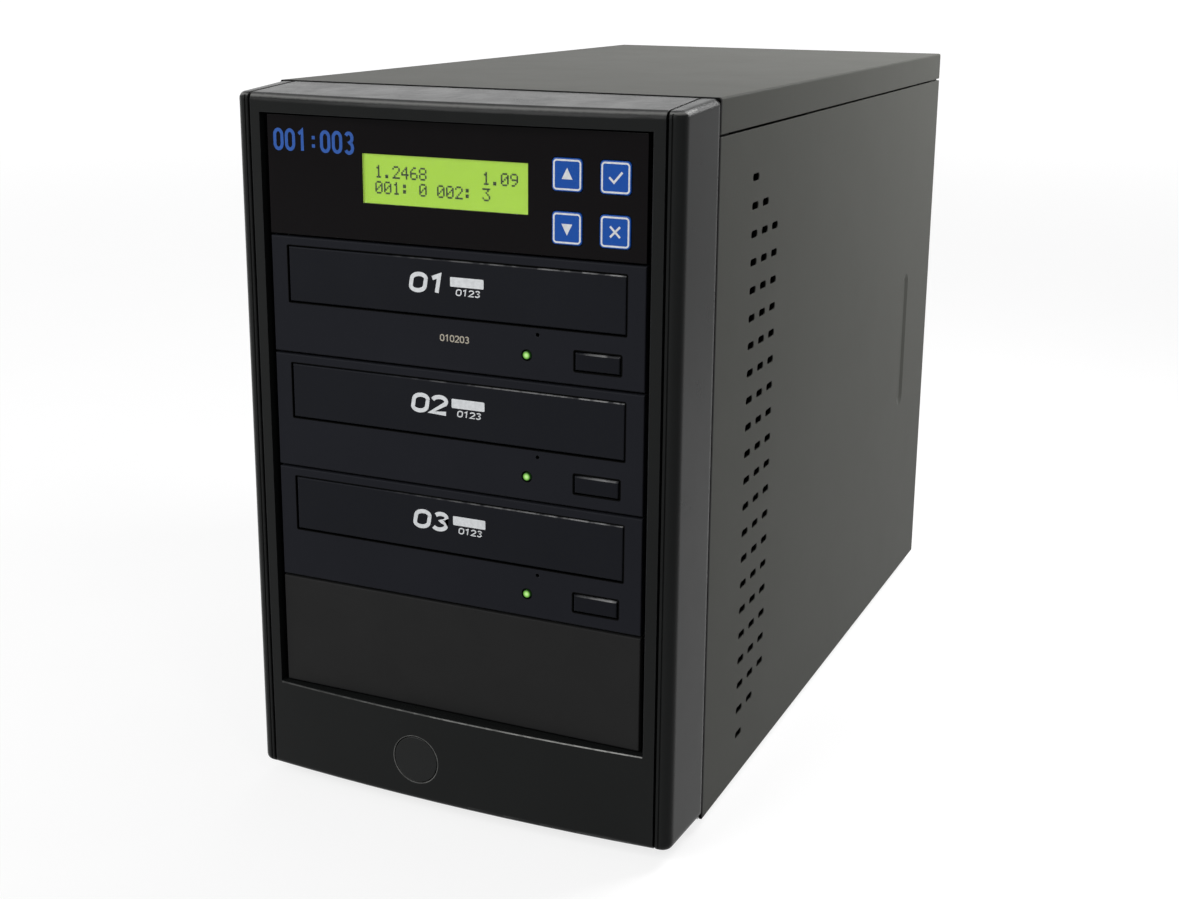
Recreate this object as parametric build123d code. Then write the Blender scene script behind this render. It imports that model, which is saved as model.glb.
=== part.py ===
from build123d import *
from math import cos, radians, sin, sqrt
import os

# Disc duplicator tower: a steel case with five front bays, which hold a control panel,
# three tray-loading disc drives and a blank panel, over a lower bezel with a power button.
# X is to the right of someone facing the front, Y runs from front to back, Z is up.
# Lengths are in millimetres. Every piece is drawn with Y measured from the front plate,
# and is moved to the part's own origin, under the middle of its box, when it is written.

# ---- Case -------------------------------------------------------------------------------
FOOT_HEIGHT = 5.0
FOOT_RADIUS = 9.0
FOOT_STEM_RADIUS = 3.0
FOOT_STEM_GAP = 0.2
FOOT_INSET_X = 20.0           # from the case side to the middle of a foot
FOOT_INSET_Y = 24.0           # from the case front and back to the middle of a foot
CASE_MARGIN = 13.8            # from the side of a bay's front to the side of the case
BAND_HEIGHT = 37.2            # from the base's underside up to the bezel's opening
CABLE_SPACE = 47.0            # between the drives' backs and the supply
SHEET = 1.0                   # steel sheet of the case, the drives and the supply
SLIDE_GAP = 0.2               # between a sliding cover and the frame that it slides on
SKIRT_DROP = 12.4             # height of the top cover's sides
SEAM_GAP = 0.9                # between the top cover's skirt and a side cover
FRONT_SEAM = 0.7              # between the bezel and the covers
FLANGE = 12.0                 # width of the folded edges of the frame
COVER_LIP = 8.0               # width of a side cover's folded long edges
COVER_TRAVEL = 25.0           # how far a side cover slides back to come off

# ---- Vents and finger groove of the side covers -----------------------------------------
VENT_ROWS = (22, 20, 18)      # holes in each column, from the front
VENT_FIRST_Y = 40.5
VENT_TOP_MARGIN = 30.9        # from the case's top to the first column's top hole
VENT_LOW_MARGIN = 17.7        # from the base's underside to that column's lowest hole
VENT_COLUMN_PITCH = 12.0
VENT_LENGTH = 7.0
VENT_HEIGHT = 2.8
VENT_CORNER = 1.25
GROOVE_BACK = 49.0            # from the back of the case to the middle of the groove
GROOVE_DROP = 6.0             # from the middle of the case's height to the groove
GROOVE_LENGTH = 68.0
GROOVE_WIDTH = 10.0
GROOVE_SLOPE = 3.2            # width of the groove's sloping sides
GROOVE_DEPTH = 0.8

# ---- Bays -------------------------------------------------------------------------------
BAY_PITCH = 44.0
BAY_COUNT = 5                 # the control panel, the drives and the blank panel
DRIVE_BAYS = (1, 2, 3)        # counted from the control panel's bay, 0
BLANK_BAY = 4
FRONT_GAP = 0.9               # between the fronts of two neighbouring bays
FRONT_THICK = 4.0
FRONT_EDGE = 0.5              # rounding of the front's edges
FRONT_RECESS = 1.0            # how far the fronts lie behind the bezel's face
CAGE_GAP = 0.3                # between a drive's side and the cage

# ---- Bezel ------------------------------------------------------------------------------
BEZEL_DEPTH = 30.0            # at its sides
BEZEL_BOW = 3.5               # the middle moulding's face bulges forwards by this much
BEZEL_WALL = 2.4
BEZEL_TOP_DROP = 0.3          # the bezel's top lies this far under the case's top
BEZEL_LIFT = 1.0              # the bezel's underside lies this far over the case's
BEZEL_TOP_FALL = 2.2          # the bezel's top slopes down by this much to its face
BEZEL_TOP_ROUND = 3.0
BEZEL_BOTTOM_ROUND = 2.4
OPENING_SIDE_GAP = 2.2        # between the fronts and the sides of the opening
OPENING_TOP_GAP = 0.6
OPENING_BOTTOM_GAP = 0.9
OPENING_TOP_MARGIN = 9.2      # from the case's top down to the opening
OPENING_LIP_DEPTH = 16.0
OPENING_LIP = 1.6
PILLAR_WIDTH = 7.0            # from the case's side to the seam with the middle moulding
PILLAR_SEAM = 1.0
PILLAR_SEAM_DEPTH = 2.5
PILLAR_TAPER = 1.2            # a pillar is this much narrower at its front
PILLAR_ROUND = 4.2
PILLAR_END_ROUND = 2.4
PILLAR_BEAD_X = 1.4           # from the seam to the thin groove beside it
PILLAR_BEAD_WIDTH = 0.6
PILLAR_BEAD_DEPTH = 0.5

# ---- Power button -----------------------------------------------------------------------
POWER_X = -14.9
POWER_Z = 17.9                # above the base
POWER_RADIUS = 9.1
POWER_GAP = 0.35
POWER_FACE = 3.0              # thickness of the button's face
POWER_EDGE = 0.35             # rounding of the face's rim
POWER_TRAVEL = 3.0
POWER_GUIDE = 10.0            # length of the guide tube behind the face
POWER_GUIDE_WALL = 1.6
POWER_COLLAR = 1.2            # the collar behind the guide is this much wider than its bore
POWER_STEM_RADIUS = 2.5
SWITCH_SIZE = 12.0
SWITCH_DEPTH = 9.0
STOP_GAP = 0.3                # left between a pressed button and its switch

# ---- Drive ------------------------------------------------------------------------------
SHELL_INSET = 1.2             # from the side of a front to the side of the steel shell
SHELL_Z = 0.9                 # from the lower edge of a front up to the shell
DRIVE_DEPTH = 170.0           # from the front's face to the back of the shell
DRIVE_SCREWS_Y = (60.0, 120.0)
DRIVE_SCREW_LIFT = 10.0       # above the underside of the shell
DOOR_MARGIN = 7.3             # from the door's end to the side of the front
DOOR_HEIGHT = 20.2
DOOR_DROP = 3.7               # from the front's top edge to the tray door
DOOR_GAP = 0.45
DOOR_THICK = 2.2
DOOR_RECESS = 0.2
EJECT_MARGIN = 17.4           # from the button's middle to the side of the front
EJECT_Z = 8.4                 # above the front's lower edge, as the next heights are
EJECT_WIDTH = 16.5
EJECT_HEIGHT = 6.1
EJECT_GAP = 0.5
EJECT_PROUD = 0.35
EJECT_TRAVEL = 0.8
EJECT_FACE = 3.0
EJECT_STEM_RADIUS = 1.5
EJECT_STEM_END = 9.5          # behind the front's face
LED_STEP = 26.9               # from the button's middle to the light
LED_Z = 8.6
LED_RADIUS = 1.5
LED_GAP = 0.4
LED_PROUD = 0.3
LED_LENGTH = 9.0
PINHOLE_STEP = 4.2            # from the light to the pinhole
PINHOLE_DROP = 3.0            # from the door's lower edge to the pinhole
PINHOLE_RADIUS = 0.75

# ---- Tray and disc ----------------------------------------------------------------------
DISC_RADIUS = 60.0
SMALL_DISC_RADIUS = 40.0
DISC_PLAY = 0.6
TRAY_MARGIN = 5.0             # from a large disc's edge to the side of the tray
TRAY_BACK = 12.0              # from the tray's end to the back of the shell
TRAY_DROP = 13.4              # from the door's top to the underside of the tray's floor
TRAY_FLOOR = 3.2              # floor under the small disc
SMALL_STEP = 1.2              # from the small disc's seat up to the large disc's seat
LARGE_STEP = 1.8              # from the large disc's seat up to the rim
TRAY_NECK = 2.0               # the tray's front wall is this much smaller than the door
RUNNER_REACH = 1.9            # how far the runners stand out of the tray's sides
RUNNER_ROOT = 3.0             # how far they reach into the tray
RUNNER_THICK = 2.6
RUNNER_RISE = 1.0             # from the underside of the tray's floor to a runner's top
RUNNER_GAP = 0.2
SPINDLE_MARGIN = 16.0         # from the front's face to a large disc's edge
SLOT_RADIUS = 19.0            # half the width of the slot that passes the turntable
BAR_GAP = 0.6

# ---- Drive mechanism --------------------------------------------------------------------
DECK_DROP = 10.0              # from the tray's underside to the deck's
DECK_THICK = 2.0
DECK_FRONT_Y = 10.0
DECK_BACK = 18.0              # from the deck's end to the back of the shell
SHAFT_RADIUS = 1.5
SHAFT_FIT = 0.05              # radial clearance of a shaft in its bore
BOSS_RADIUS = 12.0
BOSS_HEIGHT = 4.5
PLATTER_RADIUS = 14.5
PLATTER_THICK = 3.2
PLATTER_GAP = 0.5
HUB_RADIUS = 7.2
HUB_HEIGHT = 2.3
ROD_X = 16.5
ROD_RADIUS = 1.5
ROD_STEP = 10.0               # from the spindle back to the rods' front ends
ROD_BACK = 21.0               # from the rods' rear ends to the back of the shell
HOLDER_LENGTH = 3.5
SLED_WIDTH = 42.0
SLED_LENGTH = 20.0
SLED_HEIGHT = 5.0
SLED_LIFT = 0.6               # the sled's underside clears the deck by this much
SLED_START = 1.0              # between the front rod holders and the sled
SLED_WINDOW_LAP = 2.0         # how far the sled laps over each side of the deck's window
LENS_RADIUS = 3.5
LENS_PROUD = 0.8
CLAMP_RADIUS = 13.0
CLAMP_NECK = 10.0
CLAMP_GAP = 0.5
CLAMP_THICK = 1.4
BRIDGE_DROP = 4.0             # from the inside of the shell's top to the bridge
BRIDGE_THICK = 1.4
BRIDGE_LENGTH = 34.0
BOARD = 1.6                   # thickness of every circuit board
DRIVE_BOARD_Z = 4.0
DRIVE_CHIPS = ((-30, 110, 22), (15, 80, 16), (-40, 60, 12))    # X, Y and size of each chip
CHIP_HEIGHT = 1.5
SOCKET_LENGTH = 8.0
BOARD_POST_RADIUS = 2.0
BOARD_POST_X = 11.0           # from the board's side to its posts
BOARD_POST_Y = 30.0           # from the front's face and the shell's back to the posts

# ---- Control panel ----------------------------------------------------------------------
PANEL_THICK = 3.0
LCD_STEP = 14.7               # from the left key column to the display window
LCD_WIDTH = 65.1
LCD_BOTTOM = 13.4
LCD_HEIGHT = 17.5
LCD_FLANGE = 1.5
LCD_PANE_RECESS = 0.25
LCD_PANE_FLANGE_THICK = 0.8
LCD_FRAME = 3.5               # width of the display's metal frame
LCD_FRAME_THICK = 5.5
LCD_GLASS_SINK = 1.0
LCD_BOARD_MARGIN = 4.0
KEY_SIZE = 11.2
KEY_CORNER = 1.5
KEY_GAP = 0.25
KEY_PROUD = 0.4
KEY_TRAVEL = 0.5
KEY_MARGIN = 11.4             # from the right key column to the side of the front
KEY_COLUMN_PITCH = 17.6
KEY_LOW_Z = 9.9
KEY_ROW_PITCH = 18.0
KEY_FLANGE = 0.9              # the flange behind the panel is this much wider all round
KEY_FLANGE_THICK = 1.0
KEY_STEM_RADIUS = 1.75
KEY_STEM = 1.4
TACT_SIZE = 6.0
TACT_HEIGHT = 2.6
TACT_PLUNGER = 0.5
TACT_RADIUS = 1.7
POST_RADIUS = 1.6
ARM_THICK = 1.5               # arms that the panel is fixed by
ARM_LENGTH = 17.0
ARM_INSET = 6.0
CONTROL_TRAY_BACK = 20.0      # the control bay's tray is this much shorter than a drive
CONTROL_TRAY_SIDE = 30.0      # height of that tray's sides
STANDOFF_RADIUS = 2.5
STANDOFF_HEIGHT = 5.0
CONTROLLER_MARGIN = 11.0      # from the tray's side to the controller board
CONTROLLER_FRONT_Y = 34.0
CONTROLLER_BACK = 10.0        # from the board to the back of the tray
SINK_X = -5.0                 # middle of the controller's heat sink
SINK_Y = 80.0
SINK_SIZE = 26.0
SINK_HEIGHT = 10.0
SINK_FINS = 7
SINK_FIN = 1.2
SINK_FIN_PITCH = 4.0
CONTROLLER_CHIPS = ((36, 92, 18, 12), (36, 70, 18, 12), (-42, 84, 14, 20))  # X, Y, sizes
BLANK_ARM_THICK = 2.0
BLANK_ARM_LENGTH = 41.0
BLANK_ARM_INSET = 10.0

# ---- Power supply and fans --------------------------------------------------------------
PSU_WIDTH = 150.0
PSU_DEPTH = 140.0
PSU_FAN_MARGIN = 3.0          # between the fan and the supply's top and underside
PSU_WINDOW_MARGIN = 6.0
PSU_SLOTS = 8                 # air slots in the supply's front wall
PSU_SLOT_PITCH = 8.0
PSU_SLOT_WIDTH = 60.0
PSU_SLOT_HEIGHT = 3.5
PSU_SLOT_LOW = 14.0           # from the supply's underside to the lowest slot
PSU_BOARD_LIFT = 5.0
PSU_BOARD_MARGIN = 8.0
PSU_SINKS_X = (-38.0, 12.0)
PSU_SINK_HEIGHT = 50.0
PSU_SINK_FINS = 5
PSU_SINK_FIN_PITCH = 9.0
PSU_SINK_FIN_REACH = 14.0
COIL_X = (-14.0, 8.0)
COIL_Y = (30.0, 62.0)         # from the supply board's front edge
COIL_HEIGHT = 34.0
CAPACITOR_X = 48.0
CAPACITORS_Y = (14.0, 42.0)   # from the supply board's front edge
CAPACITOR_RADIUS = 11.0
CAPACITOR_HEIGHT = 38.0
FAN_SIZE = 80.0
FAN_DEPTH = 25.0
FAN_RIM = 2.0                 # thinnest part of the frame round the rotor
FAN_HOLE_MARGIN = 4.25        # from the frame's side to a screw hole
FAN_STRUT = 5.0
FAN_STATOR_FRONT = 8.0        # from the frame's front to the shaft's bearing tube
FAN_CUP_GAP = 1.0             # between that tube and the rotor's cup
FAN_CUP_FLOOR = 2.5
FAN_HUB_RADIUS = 16.0
FAN_STATOR_RADIUS = 10.0
FAN_TIP_GAP = 1.2
FAN_BLADES = 7
FAN_BLADE_CHORD = 17.0
FAN_BLADE_THICK = 1.5
FAN_BLADE_ANGLE = 38.0
FAN_BACK_WALL = 3.0
FAN_ROTOR_GAP = 0.6
PSU_FAN_X = -28.0
CASE_FAN_DROP = 85.0          # from the case's top to the middle of the fan
GRILLE_SLOT = 4.2
GRILLE_RINGS = 5
GRILLE_LAND = 3.9             # from the last ring slot to the fan's bore
GRILLE_SPOKE = 3.0
INLET_X = 45.0
INLET_Z = 62.0                # above the base
INLET_WIDTH = 28.0
INLET_HEIGHT = 20.0
INLET_FLANGE = 3.0
INLET_FLANGE_THICK = 2.0
INLET_DEPTH = 20.0
SOCKET_WIDTH = 24.0
SOCKET_HEIGHT = 16.0
SOCKET_DEPTH = 17.0
PIN_LENGTH = 12.0
PIN_WIDTH = 2.0
PIN_HEIGHT = 4.0
PINS = ((0, 2.5), (-7, -1.5), (7, -1.5))    # X and Z from the middle of the socket
ROCKER_Z = 31.0
ROCKER_WIDTH = 13.0
ROCKER_HEIGHT = 19.0
ROCKER_DEPTH = 7.0
ROCKER_TILT = 9.0
ROCKER_GAP = 0.4
PIVOT_RADIUS = 1.2

# ---- Screws and cables ------------------------------------------------------------------
SCREW_RADIUS = 1.6
SCREW_FIT = 0.05
SCREW_HEAD_RADIUS = 3.0
SCREW_HEAD = 2.0
SCREW_LENGTH = 5.0
THUMB_RADIUS = 5.0
THUMB_HEAD = 6.5
THUMB_SHANK = 7.0
THUMB_HOLE_GAP = 0.5
THUMB_KNURLS = 18
THUMB_LOW_Z = 40.0            # above the base
THUMB_TOP_MARGIN = 42.0       # from the case's top to the upper thumbscrew
KNURL_RADIUS = 0.45
LEAD_RADIUS = 1.8
LEAD_BEND = 14.0
PLUG_DEPTH = 9.0
DATA_PLUG_X = -8.0
DATA_PLUG_WIDTH = 12.0
POWER_PLUG_X = 20.0
POWER_PLUG_WIDTH = 24.0
PLUG_HEIGHT = 6.0
LEAD_STEP = 6.0               # between the lanes of neighbouring leads
LANE_START = 18.0             # from the drives' plugs to the first data lead's lane
BOARD_LEAD_STEP = 8.0         # the controller's power lead runs this much further right
BOARD_PLUG_WIDTH = 18.0
RIBBON_X = -10.0
RIBBON_WIDTH = 20.0
RIBBON_THICK = 1.0

# ---- Places that follow from the sizes above --------------------------------------------
TRAY_WIDTH = 2 * (DISC_RADIUS + TRAY_MARGIN)
DOOR_WIDTH = TRAY_WIDTH + 2 * RUNNER_REACH
FRONT_WIDTH = DOOR_WIDTH + 2 * DOOR_MARGIN
FRONT_HEIGHT = BAY_PITCH - FRONT_GAP
DRIVE_WIDTH = FRONT_WIDTH - 2 * SHELL_INSET
DRIVE_HEIGHT = FRONT_HEIGHT - 2 * SHELL_Z
CASE_WIDTH = FRONT_WIDTH + 2 * CASE_MARGIN
OPENING_HEIGHT = OPENING_TOP_GAP + BAY_COUNT * BAY_PITCH - FRONT_GAP + OPENING_BOTTOM_GAP
CASE_HEIGHT = BAND_HEIGHT + OPENING_HEIGHT + OPENING_TOP_MARGIN
BASE_Z = FOOT_HEIGHT
TOP_Z = BASE_Z + CASE_HEIGHT
HALF = CASE_WIDTH / 2
FRAME_X = HALF - SHEET - SLIDE_GAP
FACE_Y = -BEZEL_DEPTH
FRONT_Y = FACE_Y + FRONT_RECESS
DRIVE_END_Y = FRONT_Y + DRIVE_DEPTH
CASE_DEPTH = DRIVE_END_Y + CABLE_SPACE + PSU_DEPTH + 2 * SHEET
REAR_IN = CASE_DEPTH - 2 * SHEET
REAR_OUT = CASE_DEPTH - SHEET
PILLAR_SEAM_X = HALF - PILLAR_WIDTH
BOW_RADIUS = (PILLAR_SEAM_X ** 2 + BEZEL_BOW ** 2) / (2 * BEZEL_BOW)
BOW_MIDDLE_Y = FACE_Y - BEZEL_BOW + BOW_RADIUS
POWER_Y = BOW_MIDDLE_Y - sqrt(BOW_RADIUS ** 2 - POWER_X ** 2)
OPENING_TOP = TOP_Z - OPENING_TOP_MARGIN
BAYS_TOP = OPENING_TOP - OPENING_TOP_GAP
BAYS_BOTTOM = BAYS_TOP - BAY_COUNT * BAY_PITCH + FRONT_GAP
OPENING_BOTTOM = BAYS_BOTTOM - OPENING_BOTTOM_GAP
OPENING_X = FRONT_WIDTH / 2 + OPENING_SIDE_GAP
CAGE_X = DRIVE_WIDTH / 2 + CAGE_GAP
VENT_TOP_Z = CASE_HEIGHT - VENT_TOP_MARGIN
VENT_ROW_PITCH = (VENT_TOP_Z - VENT_LOW_MARGIN) / (VENT_ROWS[0] - 1)
GROOVE_Y = CASE_DEPTH - GROOVE_BACK
GROOVE_Z = CASE_HEIGHT / 2 - GROOVE_DROP
DOOR_TOP = FRONT_HEIGHT - DOOR_DROP
EJECT_X = FRONT_WIDTH / 2 - EJECT_MARGIN
LED_X = EJECT_X - LED_STEP
PINHOLE_X = LED_X + PINHOLE_STEP
PINHOLE_Z = DOOR_TOP - DOOR_HEIGHT - PINHOLE_DROP
TRAY_END_Y = DRIVE_DEPTH - TRAY_BACK
TRAY_UNDER_Z = DOOR_TOP - TRAY_DROP
SPINDLE_Y = DISC_RADIUS + SPINDLE_MARGIN
SMALL_SEAT = TRAY_UNDER_Z + TRAY_FLOOR
LARGE_SEAT = SMALL_SEAT + SMALL_STEP
TRAY_RIM = LARGE_SEAT + LARGE_STEP
RUNNER_TOP = TRAY_UNDER_Z + RUNNER_RISE
RUNNER_Z = RUNNER_TOP - RUNNER_THICK
RAIL_X = TRAY_WIDTH / 2 + RUNNER_REACH + BAR_GAP
DECK_Z = TRAY_UNDER_Z - DECK_DROP
DECK_TOP = DECK_Z + DECK_THICK
DECK_END_Y = DRIVE_DEPTH - DECK_BACK
BOSS_TOP = DECK_TOP + BOSS_HEIGHT
ROD_FRONT_Y = SPINDLE_Y + ROD_STEP
ROD_END_Y = DRIVE_DEPTH - ROD_BACK
ROD_Z = DECK_TOP + SLED_LIFT + SLED_HEIGHT / 2
BRIDGE_Z = SHELL_Z + DRIVE_HEIGHT - SHEET - BRIDGE_DROP
KEY_COLUMNS = (FRONT_WIDTH / 2 - KEY_MARGIN - KEY_COLUMN_PITCH, FRONT_WIDTH / 2 - KEY_MARGIN)
KEY_ROWS = (KEY_LOW_Z + KEY_ROW_PITCH, KEY_LOW_Z)
LCD_RIGHT = KEY_COLUMNS[0] - LCD_STEP
LCD_LEFT = LCD_RIGHT - LCD_WIDTH
LCD_TOP = LCD_BOTTOM + LCD_HEIGHT
CONTROL_TRAY_END = DRIVE_DEPTH - CONTROL_TRAY_BACK
CONTROLLER_X = DRIVE_WIDTH / 2 - CONTROLLER_MARGIN
CONTROLLER_END_Y = CONTROL_TRAY_END - CONTROLLER_BACK
CONTROLLER_Z = SHELL_Z + SHEET + STANDOFF_HEIGHT
KEY_BOARD_Y = PANEL_THICK + STOP_GAP / 3 + KEY_FLANGE_THICK + KEY_STEM + KEY_TRAVEL \
    + STOP_GAP / 3 + TACT_PLUNGER + TACT_HEIGHT
FAN_BORE = FAN_SIZE / 2 - FAN_RIM
FAN_HOLE_PITCH = FAN_SIZE - 2 * FAN_HOLE_MARGIN
GRILLE_RING_PITCH = (FAN_BORE - GRILLE_LAND - GRILLE_SLOT / 2) / GRILLE_RINGS
CASE_FAN_Z = CASE_HEIGHT - CASE_FAN_DROP
THUMB_HIGH_Z = CASE_HEIGHT - THUMB_TOP_MARGIN
PSU_HEIGHT = FAN_SIZE + 2 * PSU_FAN_MARGIN
PSU_Y = REAR_IN - PSU_DEPTH
PSU_TOP = BASE_Z + SHEET + PSU_HEIGHT
PSU_FAN_Z = BASE_Z + SHEET + PSU_HEIGHT / 2
MIDDLE_Y = (CASE_DEPTH + THUMB_HEAD - BEZEL_DEPTH - BEZEL_BOW) / 2


# ---- Helpers ----------------------------------------------------------------------------
def block(x, y, z):
    """A box from low to high along each axis."""
    middle = Pos((x[0] + x[1]) / 2, (y[0] + y[1]) / 2, (z[0] + z[1]) / 2)
    return middle * Box(x[1] - x[0], y[1] - y[0], z[1] - z[0])


def centred(x, width):
    """The low and high end of a width about x."""
    return (x - width / 2, x + width / 2)


def along_x(radius, x, y, z):
    return Pos((x[0] + x[1]) / 2, y, z) * Rot(0, 90, 0) * Cylinder(radius, x[1] - x[0])


def along_y(radius, x, y, z):
    return Pos(x, (y[0] + y[1]) / 2, z) * Rot(90, 0, 0) * Cylinder(radius, y[1] - y[0])


def along_z(radius, x, y, z):
    return Pos(x, y, (z[0] + z[1]) / 2) * Cylinder(radius, z[1] - z[0])


def through_y(sketch, y):
    """A sketch drawn in X and Z, given thickness from y low to y high."""
    return Pos(0, y[1], 0) * Rot(90, 0, 0) * extrude(sketch, y[1] - y[0])


def through_x(sketch, x):
    """A sketch drawn in Y and Z, given thickness from x low to x high."""
    return Pos(x[0], 0, 0) * Rot(0, 90, 0) * Rot(0, 0, 90) * extrude(sketch, x[1] - x[0])


def mirrored(shape):
    return mirror(shape, about=Plane.YZ)


def bay_z(bay):
    """Lower edge of the front in a bay, counted from the top."""
    return BAYS_TOP - bay * BAY_PITCH - FRONT_HEIGHT


def in_bay(bay, shape):
    """A shape drawn from a front's face and lower edge, put in its bay."""
    return Pos(0, FRONT_Y, bay_z(bay)) * shape


def soft_front(shape, radius):
    """Rounds the four edges round the foremost face."""
    return fillet(shape.faces().sort_by(Axis.Y)[0].outer_wire().edges(), radius)


def group(shapes):
    return Compound(children=[piece for shape in shapes for piece in shape.solids()])


def write(node, shape):
    """Moves a piece to the part's own origin and writes it."""
    solids = [Pos(0, -MIDDLE_Y, 0) * solid for solid in shape.solids()]
    moved = solids[0] if len(solids) == 1 else Compound(children=solids)
    export_step(moved, f"parts/{node}.step")


# ---- Case -------------------------------------------------------------------------------
def foot_places():
    x = HALF - FOOT_INSET_X
    rows = (FOOT_INSET_Y, CASE_DEPTH - FOOT_INSET_Y)
    return [(side * x, y) for side in (-1, 1) for y in rows]


def base_pan():
    pan = block((-FRAME_X, FRAME_X), (0, REAR_OUT), (BASE_Z, BASE_Z + SHEET))
    flange_y = (FLANGE + 2 * SHEET, REAR_IN - FLANGE - SHEET)
    flange = block((FRAME_X - SHEET, FRAME_X), flange_y, (BASE_Z, BASE_Z + SHEET + FLANGE))
    pan += flange
    pan += mirrored(flange)
    for x, y in foot_places():
        pan -= along_z(FOOT_STEM_RADIUS + FOOT_STEM_GAP, x, y, (BASE_Z - 1, BASE_Z + SHEET + 1))
    return pan


def feet():
    made = []
    for x, y in foot_places():
        foot = along_z(FOOT_RADIUS, x, y, (0, FOOT_HEIGHT))
        foot = chamfer(foot.faces().sort_by(Axis.Z)[0].edges(), FOOT_HEIGHT / 5)
        foot += along_z(FOOT_STEM_RADIUS, x, y, (FOOT_HEIGHT, FOOT_HEIGHT + SHEET))
        made.append(foot)
    return group(made)


def front_plate():
    z = (BASE_Z + SHEET, TOP_Z - SHEET)
    plate = block((-FRAME_X, FRAME_X), (0, SHEET), z)
    flange = block((FRAME_X - SHEET, FRAME_X), (0, SHEET + FLANGE), z)
    plate += flange
    plate += mirrored(flange)
    plate -= block((-CAGE_X, CAGE_X), (-1, SHEET + 1), (BAYS_BOTTOM, BAYS_TOP))
    return plate


def grille(x, z, y):
    """Ring slots crossed by four spokes, to be cut from a wall."""
    rings = Sketch()
    for ring in range(GRILLE_RINGS):
        middle = (ring + 1) * GRILLE_RING_PITCH
        rings += Circle(middle + GRILLE_SLOT / 2) - Circle(middle - GRILLE_SLOT / 2)
    for turn in (45, 135):
        rings -= Rot(0, 0, turn) * Rectangle(2 * FAN_SIZE, GRILLE_SPOKE)
    return through_y(Pos(x, z) * rings, y)


def fan_holes(x, z):
    half = FAN_HOLE_PITCH / 2
    return [(x + i * half, z + k * half) for i in (-1, 1) for k in (-1, 1)]


def psu_holes():
    x = PSU_WIDTH / 2 - PSU_WINDOW_MARGIN / 2
    inset = PSU_WINDOW_MARGIN / 2 + 2
    heights = (BASE_Z + SHEET + inset, PSU_TOP - inset)
    return [(side * x, z) for side in (-1, 1) for z in heights]


def top_screw_places():
    return [(side * CASE_WIDTH / 4, TOP_Z - SHEET - FLANGE / 2) for side in (-1, 1)]


def thumb_places():
    return [(HALF - FLANGE / 2 - SHEET, BASE_Z + z) for z in (THUMB_LOW_Z, THUMB_HIGH_Z)]


def rear_panel():
    z = (BASE_Z + SHEET, TOP_Z - SHEET)
    panel = block((-FRAME_X, FRAME_X), (REAR_IN, REAR_OUT), z)
    flange = block((FRAME_X - SHEET, FRAME_X), (REAR_IN - FLANGE, REAR_OUT), z)
    panel += flange
    panel += mirrored(flange)
    through = (REAR_IN - 1, REAR_OUT + 1)
    window_x = PSU_WIDTH / 2 - PSU_WINDOW_MARGIN
    window_z = (BASE_Z + SHEET + PSU_WINDOW_MARGIN, PSU_TOP - PSU_WINDOW_MARGIN)
    panel -= block((-window_x, window_x), through, window_z)
    panel -= grille(0, BASE_Z + CASE_FAN_Z, through)
    small = SCREW_RADIUS + SCREW_FIT
    for x, z in fan_holes(0, BASE_Z + CASE_FAN_Z) + psu_holes() + top_screw_places():
        panel -= along_y(small, x, through, z)
    for x, z in thumb_places():
        for side in (-1, 1):
            panel -= along_y(SCREW_RADIUS + THUMB_HOLE_GAP, side * x, through, z)
    return panel


def drive_screw_places():
    """Y and Z of the screws that hold the bays' boxes in the cage, for one side."""
    places = []
    for bay in (0,) + DRIVE_BAYS:
        for y in DRIVE_SCREWS_Y:
            places.append((FRONT_Y + y, bay_z(bay) + SHELL_Z + DRIVE_SCREW_LIFT))
    return places


def drive_cage():
    z = (BASE_Z + SHEET, TOP_Z - SHEET)
    depth = (SHEET, DRIVE_END_Y)
    plate = block((CAGE_X, CAGE_X + SHEET), depth, z)
    foot = block((CAGE_X, CAGE_X + FLANGE - SHEET), depth, (z[0], z[0] + SHEET))
    head = block((CAGE_X, CAGE_X + FLANGE - SHEET), depth, (z[1] - SHEET, z[1]))
    plate += foot
    plate += head
    for y, screw_z in drive_screw_places():
        plate -= along_x(SCREW_RADIUS + SCREW_FIT, (CAGE_X - 1, CAGE_X + SHEET + 1), y, screw_z)
    return group([plate, mirrored(plate)])


def top_cover():
    y = (FRONT_SEAM, CASE_DEPTH)
    cover = block((-HALF, HALF), y, (TOP_Z - SHEET, TOP_Z))
    skirt = block((HALF - SHEET, HALF), y, (TOP_Z - SKIRT_DROP, TOP_Z))
    cover += skirt
    cover += mirrored(skirt)
    cover += block((-HALF, HALF), (REAR_OUT, CASE_DEPTH), (TOP_Z - SKIRT_DROP, TOP_Z))
    long_edges = cover.edges().filter_by(Axis.Y).filter_by(
        lambda edge: abs(edge.center().X) > HALF - 0.1 and edge.center().Z > TOP_Z - 0.1)
    cover = fillet(long_edges, SHEET * 0.9)
    for x, z in top_screw_places():
        cover -= along_y(SCREW_RADIUS + SCREW_FIT, x, (REAR_OUT - 1, CASE_DEPTH + 1), z)
    return cover


def vent_holes():
    holes = Sketch()
    for column, rows in enumerate(VENT_ROWS):
        for row in range(rows):
            z = BASE_Z + VENT_TOP_Z - (row + column) * VENT_ROW_PITCH
            y = VENT_FIRST_Y + column * VENT_COLUMN_PITCH
            holes += Pos(y, z) * RectangleRounded(VENT_LENGTH, VENT_HEIGHT, VENT_CORNER)
    return through_x(holes, (HALF - SHEET - 1, HALF + 1))


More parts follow.
